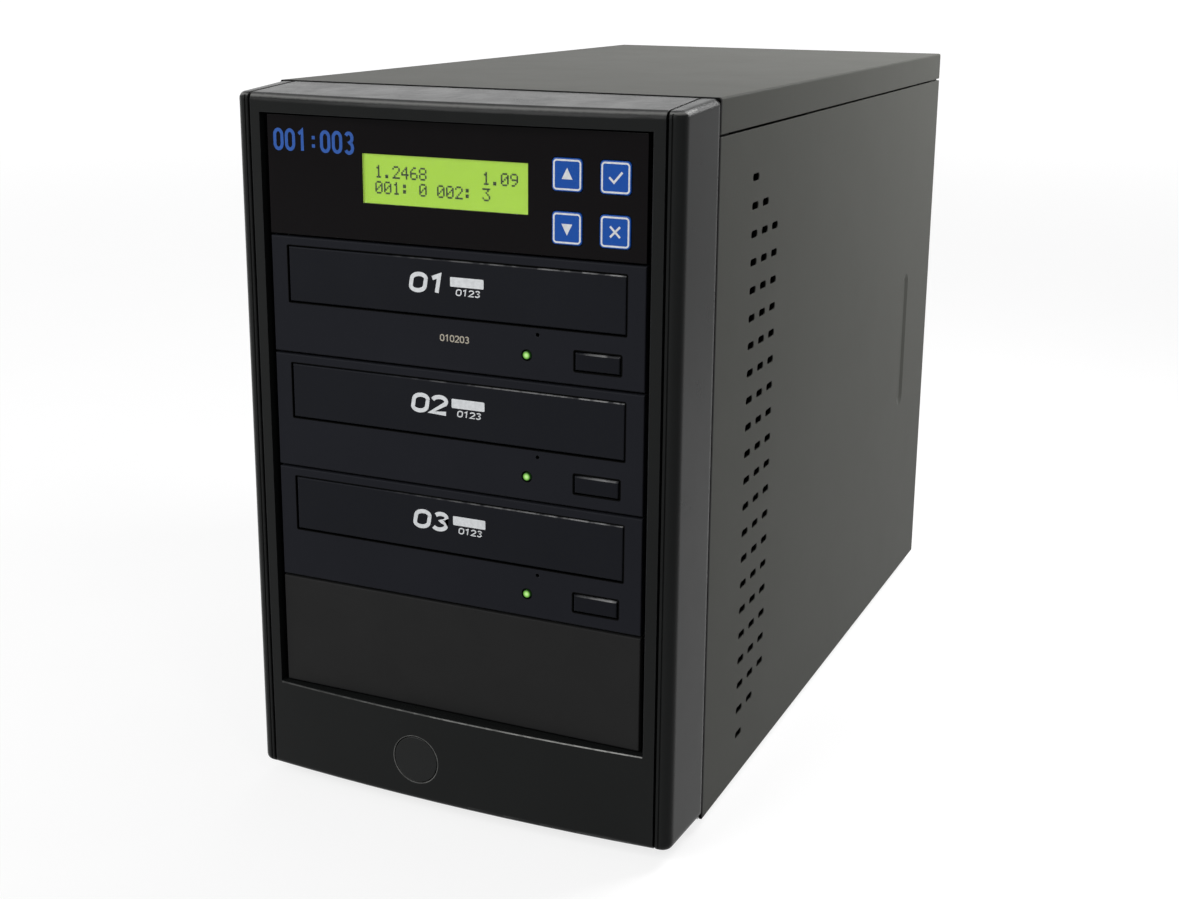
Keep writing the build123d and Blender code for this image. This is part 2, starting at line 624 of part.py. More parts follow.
def side_cover():
    y = (FRONT_SEAM, CASE_DEPTH)
    z = (BASE_Z, TOP_Z - SKIRT_DROP - SEAM_GAP)
    cover = block((HALF - SHEET, HALF), y, z)
    thumb_flange_x = (HALF - SHEET - FLANGE, HALF)
    cover += block(thumb_flange_x, (REAR_OUT + SLIDE_GAP, CASE_DEPTH), z)
    lip_x = (HALF - SHEET - COVER_LIP, HALF - SHEET)
    lip_y = (FLANGE + 5 * SHEET, REAR_IN - FLANGE - COVER_TRAVEL - 2 * SHEET)
    low = BASE_Z + SHEET + FLANGE + 2 * SHEET
    cover += block(lip_x, lip_y, (low, low + SHEET))
    cover += block(lip_x, lip_y, (z[1] - SHEET, z[1]))
    cover -= vent_holes()
    outline = SlotOverall(GROOVE_LENGTH, GROOVE_WIDTH, rotation=90)
    backing = Pos(GROOVE_Y, BASE_Z + GROOVE_Z) * offset(outline, SHEET)
    cover += through_x(backing, (HALF - SHEET - GROOVE_DEPTH, HALF - SHEET / 2))
    floor = SlotOverall(GROOVE_LENGTH - 2 * GROOVE_SLOPE, GROOVE_WIDTH - 2 * GROOVE_SLOPE, rotation=90)
    mouth_plane = Plane((HALF, GROOVE_Y, BASE_Z + GROOVE_Z), x_dir=(0, 1, 0), z_dir=(1, 0, 0))
    cover -= loft([mouth_plane * outline, mouth_plane.offset(-GROOVE_DEPTH) * floor])
    for x, hole_z in thumb_places():
        cover -= along_y(SCREW_RADIUS + SCREW_FIT, x, (REAR_OUT - 1, CASE_DEPTH + 1), hole_z)
    return cover


# ---- Bezel ------------------------------------------------------------------------------
def bezel_z():
    return (BASE_Z + BEZEL_LIFT, TOP_Z - BEZEL_TOP_DROP)


def bowed(x, inset, back, z):
    """A slab whose front follows the bezel's bulging face, set back by inset."""
    slab = block((-x, x), (FACE_Y - BEZEL_BOW - 1, back), z)
    return slab & along_z(BOW_RADIUS - inset, 0, BOW_MIDDLE_Y, z)


def sloped_top():
    """All that lies under the bezel's sloping top."""
    low, high = bezel_z()
    front = FACE_Y - BEZEL_BOW - 1
    fall = BEZEL_TOP_FALL * front / FACE_Y
    outline = Polygon((0, low), (1, low), (1, high), (0, high), (front, high - fall), (front, low),
                      align=None)
    return through_x(outline, (-HALF - 1, HALF + 1))


def top_seam_z():
    """Height that the grooves over the pillars' seams take out of the bezel's top."""
    high = bezel_z()[1]
    return (high - BEZEL_TOP_FALL - PILLAR_SEAM_DEPTH, high + 1)


def bezel():
    z = bezel_z()
    x = PILLAR_SEAM_X
    shell = bowed(x, 0, 0, z) & sloped_top()
    top_edge = shell.faces().sort_by(Axis.Y)[0].edges().sort_by(Axis.Z)[-1]
    shell = fillet(top_edge, BEZEL_TOP_ROUND)
    bottom_edge = shell.faces().sort_by(Axis.Y)[0].edges().sort_by(Axis.Z)[0]
    shell = fillet(bottom_edge, BEZEL_BOTTOM_ROUND)
    hollow_z = (z[0] + BEZEL_WALL, z[1] - BEZEL_WALL - BEZEL_TOP_FALL)
    shell -= bowed(x - BEZEL_WALL, BEZEL_WALL, 1, hollow_z)
    lip_z = (OPENING_BOTTOM - OPENING_LIP, OPENING_TOP + OPENING_LIP)
    shell += bowed(OPENING_X + OPENING_LIP, BEZEL_WALL / 2, FACE_Y + OPENING_LIP_DEPTH, lip_z)
    opening_y = (FACE_Y - BEZEL_BOW - 1, 1)
    shell -= block((-OPENING_X, OPENING_X), opening_y, (OPENING_BOTTOM, OPENING_TOP))
    seam_x = (x - PILLAR_SEAM / 2, x + 1)
    seam = block(seam_x, (FACE_Y - 1, FACE_Y + PILLAR_SEAM_DEPTH), z)
    seam += block(seam_x, (FACE_Y - 1, 1), top_seam_z())
    shell -= seam
    shell -= mirrored(seam)
    button_z = BASE_Z + POWER_Z
    bore = POWER_RADIUS + POWER_GAP
    guide_y = (POWER_Y + BEZEL_WALL / 2, FACE_Y + POWER_GUIDE)
    shell += along_y(bore + POWER_GUIDE_WALL, POWER_X, guide_y, button_z)
    shell -= along_y(bore, POWER_X, (POWER_Y - 1, FACE_Y + POWER_GUIDE + 1), button_z)
    return shell


def bezel_pillars():
    z = bezel_z()
    back = HALF
    front = HALF - PILLAR_TAPER
    inner = PILLAR_SEAM_X
    outline = Polygon((inner, 0), (back, 0), (front, FACE_Y), (inner, FACE_Y), align=None)
    corner = outline.vertices().sort_by(Axis.Y)[:2].sort_by(Axis.X)[-1]
    outline = fillet(corner, PILLAR_ROUND)
    bar = Pos(0, 0, z[0]) * extrude(outline, z[1] - z[0], dir=(0, 0, 1)) & sloped_top()
    ends = [bar.faces().sort_by(Axis.Z)[0], bar.faces().sort_by(Axis.Z)[-1]]
    shown = [edge for end in ends for edge in end.edges()
             if edge.center().X > inner + 0.01 and edge.center().Y < -0.01]
    bar = fillet(shown, PILLAR_END_ROUND)
    seam_y = (FACE_Y - 1, FACE_Y + PILLAR_SEAM_DEPTH)
    seam_x = (inner - 1, inner + PILLAR_SEAM / 2)
    bar -= block(seam_x, seam_y, z)
    bar -= block(seam_x, (FACE_Y - 1, 1), top_seam_z())
    bead_x = inner + PILLAR_BEAD_X
    bead = (bead_x, bead_x + PILLAR_BEAD_WIDTH)
    bar -= block(bead, (FACE_Y - 1, FACE_Y + PILLAR_BEAD_DEPTH), (z[0] - 1, z[1] + 1))
    return group([bar, mirrored(bar)])


def power_button():
    z = BASE_Z + POWER_Z
    face = along_y(POWER_RADIUS, POWER_X, (POWER_Y - 1, POWER_Y + POWER_FACE), z)
    face &= bowed(PILLAR_SEAM_X, 0, 0, bezel_z())
    button = fillet(face.faces().sort_by(Axis.Y)[0].edges(), POWER_EDGE)
    collar_y = FACE_Y + POWER_GUIDE + STOP_GAP
    button += along_y(POWER_RADIUS - 1.5, POWER_X, (POWER_Y + POWER_FACE - 1, collar_y), z)
    collar = POWER_RADIUS + POWER_GAP + POWER_COLLAR
    button += along_y(collar, POWER_X, (collar_y, collar_y + SHEET), z)
    stem_end = -SWITCH_DEPTH - STOP_GAP - 1.0 - POWER_TRAVEL
    button += along_y(POWER_STEM_RADIUS, POWER_X, (collar_y, stem_end), z)
    return button


def power_switch():
    z = BASE_Z + POWER_Z
    body = block(centred(POWER_X, SWITCH_SIZE), (-SWITCH_DEPTH, 0), centred(z, SWITCH_SIZE))
    return body + along_y(POWER_STEM_RADIUS, POWER_X, (-SWITCH_DEPTH - 1.0, -SWITCH_DEPTH + 1), z)


# ---- Drives, drawn from the front's face and lower edge ---------------------------------
def drive_front():
    front = block(centred(0, FRONT_WIDTH), (0, FRONT_THICK), (0, FRONT_HEIGHT))
    front = soft_front(front, FRONT_EDGE)
    through = (-1, FRONT_THICK + 1)
    door_z = (DOOR_TOP - DOOR_HEIGHT - DOOR_GAP, DOOR_TOP + DOOR_GAP)
    front -= block(centred(0, DOOR_WIDTH + 2 * DOOR_GAP), through, door_z)
    front -= block(centred(EJECT_X, EJECT_WIDTH + 2 * EJECT_GAP), through,
                   centred(EJECT_Z, EJECT_HEIGHT + 2 * EJECT_GAP))
    front -= along_y(LED_RADIUS + LED_GAP, LED_X, (-1, FRONT_THICK / 2), LED_Z)
    front -= along_y(LED_RADIUS + SHAFT_FIT, LED_X, through, LED_Z)
    front -= along_y(PINHOLE_RADIUS, PINHOLE_X, through, PINHOLE_Z)
    return front


def drive_case():
    x = DRIVE_WIDTH / 2
    z = (SHELL_Z, SHELL_Z + DRIVE_HEIGHT)
    shell = block((-x, x), (FRONT_THICK, DRIVE_DEPTH), z)
    inner_z = (z[0] + SHEET, z[1] - SHEET)
    inner_x = x - SHEET
    shell -= block((-inner_x, inner_x), (FRONT_THICK - 1, DRIVE_DEPTH - SHEET), inner_z)
    plug_z = (DRIVE_BOARD_Z, DRIVE_BOARD_Z + BOARD + PLUG_HEIGHT + 1)
    plug_x = (DATA_PLUG_X - DATA_PLUG_WIDTH / 2 - 1, POWER_PLUG_X + POWER_PLUG_WIDTH / 2 + 1)
    shell -= block(plug_x, (DRIVE_DEPTH - SHEET - 1, DRIVE_DEPTH + 1), plug_z)
    for y in DRIVE_SCREWS_Y:
        hole = along_x(SCREW_RADIUS + SCREW_FIT, (inner_x - 1, x + 1), y, SHELL_Z + DRIVE_SCREW_LIFT)
        shell -= hole
        shell -= mirrored(hole)
    return shell


def eject_button():
    face_y = (-EJECT_PROUD, EJECT_FACE)
    face = block(centred(EJECT_X, EJECT_WIDTH), face_y, centred(EJECT_Z, EJECT_HEIGHT))
    face = soft_front(face, FRONT_EDGE)
    return face + along_y(EJECT_STEM_RADIUS, EJECT_X, (EJECT_FACE - 1, EJECT_STEM_END), EJECT_Z)


def light_pipe():
    pipe = along_y(LED_RADIUS, LED_X, (-LED_PROUD, LED_LENGTH), LED_Z)
    return fillet(pipe.edges().group_by(Axis.Y)[0], LED_PROUD)


def tray_door():
    door_z = (DOOR_TOP - DOOR_HEIGHT, DOOR_TOP)
    door = block(centred(0, DOOR_WIDTH), (DOOR_RECESS, DOOR_RECESS + DOOR_THICK), door_z)
    return soft_front(door, FRONT_EDGE)


def tray():
    half = TRAY_WIDTH / 2
    front_y = DOOR_RECESS + DOOR_THICK
    plate = block((-half, half), (front_y, TRAY_END_Y), (TRAY_UNDER_Z, TRAY_RIM))
    wall_z = (DOOR_TOP - DOOR_HEIGHT + TRAY_NECK, DOOR_TOP - TRAY_NECK)
    plate += block((-half, half), (front_y, front_y + DOOR_THICK), wall_z)
    disc = DISC_RADIUS + DISC_PLAY
    plate -= along_z(disc, 0, SPINDLE_Y, (LARGE_SEAT, TRAY_RIM + 1))
    plate -= along_z(SMALL_DISC_RADIUS + DISC_PLAY, 0, SPINDLE_Y, (SMALL_SEAT, TRAY_RIM + 1))
    slot_z = (TRAY_UNDER_Z - 1, TRAY_RIM + 1)
    plate -= along_z(SLOT_RADIUS, 0, SPINDLE_Y, slot_z)
    plate -= block((-SLOT_RADIUS, SLOT_RADIUS), (SPINDLE_Y, TRAY_END_Y + 1), slot_z)
    runner_x = (half - RUNNER_ROOT, half + RUNNER_REACH)
    runner = block(runner_x, (DECK_FRONT_Y, TRAY_END_Y), (RUNNER_Z, RUNNER_TOP))
    plate += runner
    plate += mirrored(runner)
    return plate


def drive_frame():
    """Plastic frame inside a drive: deck, tray rails, spindle boss, rod holders, bridge."""
    y = (DECK_FRONT_Y, DECK_END_Y)
    wall = DRIVE_WIDTH / 2 - SHEET
    frame = block((-wall, wall), y, (DECK_Z, DECK_TOP))
    rail_top = RUNNER_TOP + RUNNER_GAP
    rail_in = TRAY_WIDTH / 2 + BAR_GAP
    side = block((RAIL_X, wall), y, (DECK_Z, rail_top + SHEET))
    side += block((rail_in, RAIL_X), y, (DECK_Z, RUNNER_Z - RUNNER_GAP))
    side += block((rail_in, RAIL_X), y, (rail_top, rail_top + SHEET))
    side += block((RAIL_X, wall), centred(SPINDLE_Y, BRIDGE_LENGTH), (DECK_Z, BRIDGE_Z))
    frame += side
    frame += mirrored(side)
    opening_y = (ROD_FRONT_Y + HOLDER_LENGTH, ROD_END_Y - HOLDER_LENGTH)
    window_x = SLED_WIDTH / 2 - SLED_WINDOW_LAP
    frame -= block((-window_x, window_x), opening_y, (DECK_Z - 1, DECK_TOP + 1))
    frame += along_z(BOSS_RADIUS, 0, SPINDLE_Y - 2, (DECK_TOP, BOSS_TOP))
    frame -= along_z(SHAFT_RADIUS + SHAFT_FIT, 0, SPINDLE_Y, (DECK_Z - 1, BOSS_TOP + 1))
    holder_z = (DECK_Z, ROD_Z + 1.6 * ROD_RADIUS)
    for x in (-ROD_X, ROD_X):
        for start in (ROD_FRONT_Y, ROD_END_Y - HOLDER_LENGTH):
            holder_y = (start, start + HOLDER_LENGTH)
            frame += block(centred(x, 4 * ROD_RADIUS), holder_y, holder_z)
            frame -= along_y(ROD_RADIUS + SHAFT_FIT, x, holder_y, ROD_Z)
    bridge_top = BRIDGE_Z + BRIDGE_THICK
    bridge = block((-wall, wall), centred(SPINDLE_Y, BRIDGE_LENGTH), (BRIDGE_Z, bridge_top))
    bridge -= along_z(CLAMP_NECK + CLAMP_GAP, 0, SPINDLE_Y, (BRIDGE_Z - 1, bridge_top + 1))
    return frame + bridge


def disc_clamp():
    """Spool that hangs in the bridge and holds a disc down on the turntable."""
    top = BRIDGE_Z + BRIDGE_THICK + SHAFT_FIT
    low = BRIDGE_Z - CLAMP_GAP
    spool = along_z(CLAMP_NECK, 0, SPINDLE_Y, (low - 1, top + 1))
    spool += along_z(CLAMP_RADIUS, 0, SPINDLE_Y, (low - CLAMP_THICK, low))
    return spool + along_z(CLAMP_RADIUS, 0, SPINDLE_Y, (top, top + CLAMP_THICK))


def rod(x):
    return along_y(ROD_RADIUS, x, (ROD_FRONT_Y, ROD_END_Y), ROD_Z)


def turntable():
    platter_z = (BOSS_TOP + PLATTER_GAP, BOSS_TOP + PLATTER_GAP + PLATTER_THICK)
    table = along_z(PLATTER_RADIUS, 0, SPINDLE_Y, platter_z)
    hub = along_z(HUB_RADIUS, 0, SPINDLE_Y, (platter_z[1], platter_z[1] + HUB_HEIGHT))
    table += chamfer(hub.edges().group_by(Axis.Z)[-1], HUB_HEIGHT / 2)
    return table + along_z(SHAFT_RADIUS, 0, SPINDLE_Y, (DECK_Z - 2, platter_z[0] + 1))


def laser_sled():
    start = ROD_FRONT_Y + HOLDER_LENGTH + SLED_START
    y = (start, start + SLED_LENGTH)
    sled = block(centred(0, SLED_WIDTH), y, centred(ROD_Z, SLED_HEIGHT))
    for x in (-ROD_X, ROD_X):
        sled -= along_y(ROD_RADIUS + SHAFT_FIT, x, (y[0] - 1, y[1] + 1), ROD_Z)
    top = ROD_Z + SLED_HEIGHT / 2
    return sled + along_z(LENS_RADIUS, 0, start + SLED_LENGTH / 2, (top, top + LENS_PROUD))


def drive_board():
    x = DRIVE_WIDTH / 2 - SHEET - 1
    z = (DRIVE_BOARD_Z, DRIVE_BOARD_Z + BOARD)
    board = block((-x, x), (FRONT_THICK + 4, DRIVE_DEPTH - SHEET), z)
    tact_y = EJECT_STEM_END + EJECT_TRAVEL + STOP_GAP / 3
    tact_z = (z[1] - BOARD / 2, EJECT_Z + TACT_SIZE / 2)
    board += block(centred(EJECT_X, TACT_SIZE), (tact_y, tact_y + TACT_HEIGHT), tact_z)
    led_y = LED_LENGTH + STOP_GAP
    led_z = (z[1] - BOARD / 2, LED_Z + LED_RADIUS)
    board += block(centred(LED_X, 2 * LED_RADIUS), (led_y, led_y + 2 * LED_RADIUS), led_z)
    for chip_x, chip_y, size in DRIVE_CHIPS:
        chip_z = (z[1] - BOARD / 2, z[1] + CHIP_HEIGHT)
        board += block(centred(chip_x, size), centred(chip_y, size), chip_z)
    socket_y = (DRIVE_DEPTH - SHEET - SOCKET_LENGTH, DRIVE_DEPTH)
    socket_z = (z[1] - BOARD / 2, z[1] + PLUG_HEIGHT)
    board += block(centred(DATA_PLUG_X, DATA_PLUG_WIDTH), socket_y, socket_z)
    board += block(centred(POWER_PLUG_X, POWER_PLUG_WIDTH), socket_y, socket_z)
    for post_x in (BOARD_POST_X - x, x - BOARD_POST_X):
        for post_y in (BOARD_POST_Y, DRIVE_DEPTH - BOARD_POST_Y):
            board += along_z(BOARD_POST_RADIUS, post_x, post_y, (SHELL_Z + SHEET, z[0]))
            board += along_z(BOARD_POST_RADIUS, post_x, post_y, (z[1], DECK_Z))
    return board


# ---- Control bay, drawn like the drives -------------------------------------------------
def key_places():
    names = ("key_up", "key_enter", "key_down", "key_escape")
    places = [(x, z) for z in KEY_ROWS for x in KEY_COLUMNS]
    return list(zip(names, places))


def lcd_board_corners():
    x = (LCD_LEFT - LCD_FRAME - LCD_BOARD_MARGIN, LCD_RIGHT + LCD_FRAME + LCD_BOARD_MARGIN)
    z = (LCD_BOTTOM - LCD_FRAME - LCD_BOARD_MARGIN, LCD_TOP + LCD_FRAME + LCD_BOARD_MARGIN)
    return x, z


def lcd_board_y():
    return PANEL_THICK + LCD_PANE_FLANGE_THICK + STOP_GAP + LCD_FRAME_THICK


def key_post_places():
    x = sum(KEY_COLUMNS) / len(KEY_COLUMNS)
    return [(x, KEY_ROWS[1] - KEY_SIZE / 2), (x, KEY_ROWS[0] + KEY_SIZE / 2 + 2)]


def control_front():
    panel = block(centred(0, FRONT_WIDTH), (0, PANEL_THICK), (0, FRONT_HEIGHT))
    panel = soft_front(panel, FRONT_EDGE / 2)
    through = (-1, PANEL_THICK + 1)
    panel -= block((LCD_LEFT, LCD_RIGHT), through, (LCD_BOTTOM, LCD_TOP))
    hole = RectangleRounded(KEY_SIZE + 2 * KEY_GAP, KEY_SIZE + 2 * KEY_GAP, KEY_CORNER + KEY_GAP)
    for _, (x, z) in key_places():
        panel -= through_y(Pos(x, z) * hole, through)
    arm_x = DRIVE_WIDTH / 2 - SHEET - CAGE_GAP
    arm_y = (PANEL_THICK, PANEL_THICK + ARM_LENGTH)
    arm = block((arm_x - ARM_THICK, arm_x), arm_y, (ARM_INSET, FRONT_HEIGHT - ARM_INSET))
    panel += arm
    panel += mirrored(arm)
    board_x, board_z = lcd_board_corners()
    for x in (board_x[0] + POST_RADIUS, board_x[1] - POST_RADIUS):
        for z in (board_z[0] + POST_RADIUS, board_z[1] - POST_RADIUS):
            panel += along_y(POST_RADIUS, x, (PANEL_THICK, lcd_board_y()), z)
    for x, z in key_post_places():
        panel += along_y(POST_RADIUS, x, (PANEL_THICK, KEY_BOARD_Y), z)
    return panel


def lcd_window():
    gap = 2 * SHAFT_FIT
    x = (LCD_LEFT + gap, LCD_RIGHT - gap)
    z = (LCD_BOTTOM + gap, LCD_TOP - gap)
    pane = block(x, (LCD_PANE_RECESS, PANEL_THICK), z)
    flange_x = (LCD_LEFT - LCD_FLANGE, LCD_RIGHT + LCD_FLANGE)
    flange_z = (LCD_BOTTOM - LCD_FLANGE, LCD_TOP + LCD_FLANGE)
    return pane + block(flange_x, (PANEL_THICK, PANEL_THICK + LCD_PANE_FLANGE_THICK), flange_z)


def lcd_module():
    y = lcd_board_y()
    frame_x = (LCD_LEFT - LCD_FRAME, LCD_RIGHT + LCD_FRAME)
    frame_z = (LCD_BOTTOM - LCD_FRAME, LCD_TOP + LCD_FRAME)
    module = block(frame_x, (y - LCD_FRAME_THICK, y), frame_z)
    face = (y - LCD_FRAME_THICK - 1, y - LCD_FRAME_THICK + LCD_GLASS_SINK)
    module -= block((LCD_LEFT - 1, LCD_RIGHT + 1), face, (LCD_BOTTOM - 1, LCD_TOP + 1))
    board_x, board_z = lcd_board_corners()
    return module + block(board_x, (y, y + BOARD), board_z)


def key_cap(x, z):
    outline = Pos(x, z) * RectangleRounded(KEY_SIZE, KEY_SIZE, KEY_CORNER)
    cap = through_y(outline, (-KEY_PROUD, PANEL_THICK))
    cap = fillet(cap.faces().sort_by(Axis.Y)[0].edges(), KEY_PROUD * 0.7)
    back = PANEL_THICK + STOP_GAP / 3
    cap += block(centred(x, KEY_SIZE - 2), (PANEL_THICK - 1, back), centred(z, KEY_SIZE - 2))
    flange = KEY_SIZE + 2 * KEY_FLANGE
    cap += block(centred(x, flange), (back, back + KEY_FLANGE_THICK), centred(z, flange))
    stem = (back + KEY_FLANGE_THICK / 2, back + KEY_FLANGE_THICK + KEY_STEM)
    return cap + along_y(KEY_STEM_RADIUS, x, stem, z)


def key_board():
    y = (KEY_BOARD_Y, KEY_BOARD_Y + BOARD)
    board_x, _ = lcd_board_corners()
    x = (board_x[1] + STOP_GAP, KEY_COLUMNS[1] + KEY_SIZE / 2 + 1)
    board = block(x, y, (2, FRONT_HEIGHT - 2))
    for _, (key_x, key_z) in key_places():
        body_y = (y[0] - TACT_HEIGHT, y[0])
        board += block(centred(key_x, TACT_SIZE), body_y, centred(key_z, TACT_SIZE))
        plunger_y = (body_y[0] - TACT_PLUNGER, body_y[0] + 1)
        board += along_y(TACT_RADIUS, key_x, plunger_y, key_z)
    return board


def control_tray():
    wall = DRIVE_WIDTH / 2
    floor = SHELL_Z + SHEET
    plate = block((-wall, wall), (PANEL_THICK, CONTROL_TRAY_END), (SHELL_Z, floor))
    side_z = (SHELL_Z, SHELL_Z + CONTROL_TRAY_SIDE)
    side = block((wall - SHEET, wall), (PANEL_THICK, CONTROL_TRAY_END), side_z)
    plate += side
    plate += mirrored(side)
    for y in DRIVE_SCREWS_Y:
        hole = along_x(SCREW_RADIUS + SCREW_FIT, (wall - 2, wall + 1), y, SHELL_Z + DRIVE_SCREW_LIFT)
        plate -= hole
        plate -= mirrored(hole)
    inset = 2 * STANDOFF_RADIUS
    for x in (inset - CONTROLLER_X, CONTROLLER_X - inset):
        for y in (CONTROLLER_FRONT_Y + inset, CONTROLLER_END_Y - PLUG_DEPTH - inset):
            plate += along_z(STANDOFF_RADIUS, x, y, (floor, CONTROLLER_Z))
    return plate


def data_lane_x(lead):
    """Where a drive's data lead leaves the controller board."""
    return DATA_PLUG_X - (len(DRIVE_BAYS) - 1 - lead) * (DATA_PLUG_WIDTH + 3)


def copy_controller():
    y = (CONTROLLER_FRONT_Y, CONTROLLER_END_Y)
    board = block((-CONTROLLER_X, CONTROLLER_X), y, (CONTROLLER_Z, CONTROLLER_Z + BOARD))
    top = CONTROLLER_Z + BOARD
    board += block(centred(SINK_X, SINK_SIZE), centred(SINK_Y, SINK_SIZE), (top, top + 2))
    for fin in range(SINK_FINS):
        fin_x = SINK_X + (fin - (SINK_FINS - 1) / 2) * SINK_FIN_PITCH
        board += block(centred(fin_x, SINK_FIN), centred(SINK_Y, SINK_SIZE), (top + 1, top + SINK_HEIGHT))
    for chip_x, chip_y, wide, long in CONTROLLER_CHIPS:
        board += block(centred(chip_x, wide), centred(chip_y, long), (top, top + CHIP_HEIGHT))
    socket_y = (y[1] - SOCKET_LENGTH, y[1])
    for lead in range(len(DRIVE_BAYS)):
        socket_x = centred(data_lane_x(lead), DATA_PLUG_WIDTH)
        board += block(socket_x, socket_y, (top, top + PLUG_HEIGHT))
    power_x = centred(board_plug_x(), BOARD_PLUG_WIDTH)
    board += block(power_x, socket_y, (top, top + PLUG_HEIGHT + 2))
    ribbon_x = centred(RIBBON_X, RIBBON_WIDTH + 4)
    board += block(ribbon_x, (y[0], y[0] + SOCKET_LENGTH), (top, top + 2))
    return board


def blank_panel():
    panel = block(centred(0, FRONT_WIDTH), (0, PANEL_THICK), (0, FRONT_HEIGHT))
    panel = soft_front(panel, FRONT_EDGE)
    arm_x = (CAGE_X - CAGE_GAP - BLANK_ARM_THICK, CAGE_X - CAGE_GAP)
    arm_y = (PANEL_THICK, PANEL_THICK + BLANK_ARM_LENGTH)
    arm = block(arm_x, arm_y, (BLANK_ARM_INSET, FRONT_HEIGHT - BLANK_ARM_INSET))
    panel += arm
    return panel + mirrored(arm)


# ---- Fans -------------------------------------------------------------------------------
def fan_frame(x, z, back):
    """Square fan frame whose back face lies at y = back."""
    y = (back - FAN_DEPTH, back)
    frame = block(centred(x, FAN_SIZE), y, centred(z, FAN_SIZE))
    frame -= along_y(FAN_BORE, x, (y[0] - 1, y[1] + 1), z)
    wall_y = (back - FAN_BACK_WALL, back)
    frame += along_y(FAN_HUB_RADIUS, x, wall_y, z)
    for turn in (45, 135):
        strut = Rot(0, 0, turn) * Rectangle(2 * FAN_BORE + 2, FAN_STRUT)
        frame += through_y(Pos(x, z) * strut, wall_y)
    frame += along_y(FAN_STATOR_RADIUS, x, (y[0] + FAN_STATOR_FRONT, back), z)
    frame -= along_y(SHAFT_RADIUS + SHAFT_FIT, x, (y[0] - 1, back - 1), z)
    for hole_x, hole_z in fan_holes(x, z):
        frame -= along_y(SCREW_RADIUS + SCREW_FIT, hole_x, (y[0] - 1, y[1] + 1), hole_z)
    return frame


def fan_rotor(x, z, back):
    front = back - FAN_DEPTH + 1
    rear = back - FAN_BACK_WALL - FAN_ROTOR_GAP
    hub = along_y(FAN_HUB_RADIUS, 0, (front, rear), 0)
    hub = fillet(hub.edges().group_by(Axis.Y)[0], 2)
    tip = FAN_BORE - FAN_TIP_GAP
    middle = (front + rear) / 2
    swept = along_y(tip, 0, (front + 1, rear - 1), 0)
    flat = block(centred(0, FAN_BLADE_THICK), centred(0, FAN_BLADE_CHORD), (0, FAN_BORE))
    blade = Pos(0, middle, 0) * Rot(0, 0, FAN_BLADE_ANGLE) * flat
    blade = blade & swept
    rotor = hub
    for turn in range(FAN_BLADES):
        rotor += Rot(0, 360 / FAN_BLADES * turn, 0) * blade
    cup = FAN_STATOR_RADIUS + FAN_CUP_GAP
    rotor -= along_y(cup, 0, (front + FAN_CUP_FLOOR, rear + 1), 0)
    rotor += along_y(SHAFT_RADIUS, 0, (front + 1, rear - 1), 0)
    return Pos(x, 0, z) * rotor


# ---- Power supply -----------------------------------------------------------------------
def psu_case():
    x = PSU_WIDTH / 2
    z = (BASE_Z + SHEET, PSU_TOP)
    case = block((-x, x), (PSU_Y, REAR_IN), z)
    inner_y = (PSU_Y + SHEET, REAR_IN - SHEET)
    case -= block((SHEET - x, x - SHEET), inner_y, (z[0] + SHEET, z[1] - SHEET))
    rear = (REAR_IN - SHEET - 1, REAR_IN + 1)
    case -= grille(PSU_FAN_X, PSU_FAN_Z, rear)
    small = SCREW_RADIUS + SCREW_FIT
    for hole_x, hole_z in fan_holes(PSU_FAN_X, PSU_FAN_Z) + psu_holes():
        case -= along_y(small, hole_x, rear, hole_z)
    case -= block(centred(INLET_X, INLET_WIDTH), rear, centred(BASE_Z + INLET_Z, INLET_HEIGHT))
    switch_z = centred(BASE_Z + ROCKER_Z, ROCKER_WIDTH + 4)
    case -= block(centred(INLET_X, ROCKER_HEIGHT + 4), rear, switch_z)
    front = (PSU_Y - 1, PSU_Y + SHEET + 1)
    for row in range(PSU_SLOTS):
        slot_z = z[0] + PSU_SLOT_LOW + row * PSU_SLOT_PITCH
        slot_x = centred(PSU_FAN_X, PSU_SLOT_WIDTH)
        case -= block(slot_x, front, (slot_z, slot_z + PSU_SLOT_HEIGHT))
    for lane in range(len(DRIVE_BAYS) + 1):
        case -= along_y(LEAD_RADIUS + SHAFT_FIT, power_lane_x(lane), front, power_exit_z())
    return case


def psu_board():
    low = BASE_Z + 2 * SHEET + PSU_BOARD_LIFT
    y = (PSU_Y + PSU_BOARD_MARGIN, REAR_IN - FAN_DEPTH - PSU_BOARD_MARGIN)
    x = PSU_WIDTH / 2 - SHEET - PSU_BOARD_MARGIN / 2
    board = block((-x, x), y, (low, low + BOARD))
    top = low + BOARD / 2
    sink_y = (y[0] + PSU_BOARD_MARGIN, y[1] - PSU_BOARD_MARGIN)
    for sink_x in PSU_SINKS_X:
        board += block((sink_x, sink_x + 2 * BOARD), sink_y, (top, low + PSU_SINK_HEIGHT))
        for fin in range(PSU_SINK_FINS):
            fin_z = low + (fin + 1) * PSU_SINK_FIN_PITCH
            board += block((sink_x, sink_x + PSU_SINK_FIN_REACH), sink_y, (fin_z, fin_z + BOARD))
    board += block(COIL_X, (y[0] + COIL_Y[0], y[0] + COIL_Y[1]), (top, low + COIL_HEIGHT))
    for can_y in CAPACITORS_Y:
        can_z = (top, low + CAPACITOR_HEIGHT)
        board += along_z(CAPACITOR_RADIUS, CAPACITOR_X, y[0] + can_y, can_z)
    inset = 2 * STANDOFF_RADIUS
    for post_x in (inset - x, x - inset):
        for post_y in (y[0] + inset, y[1] - inset):
            board += along_z(STANDOFF_RADIUS, post_x, post_y, (BASE_Z + 2 * SHEET, top))
    return board


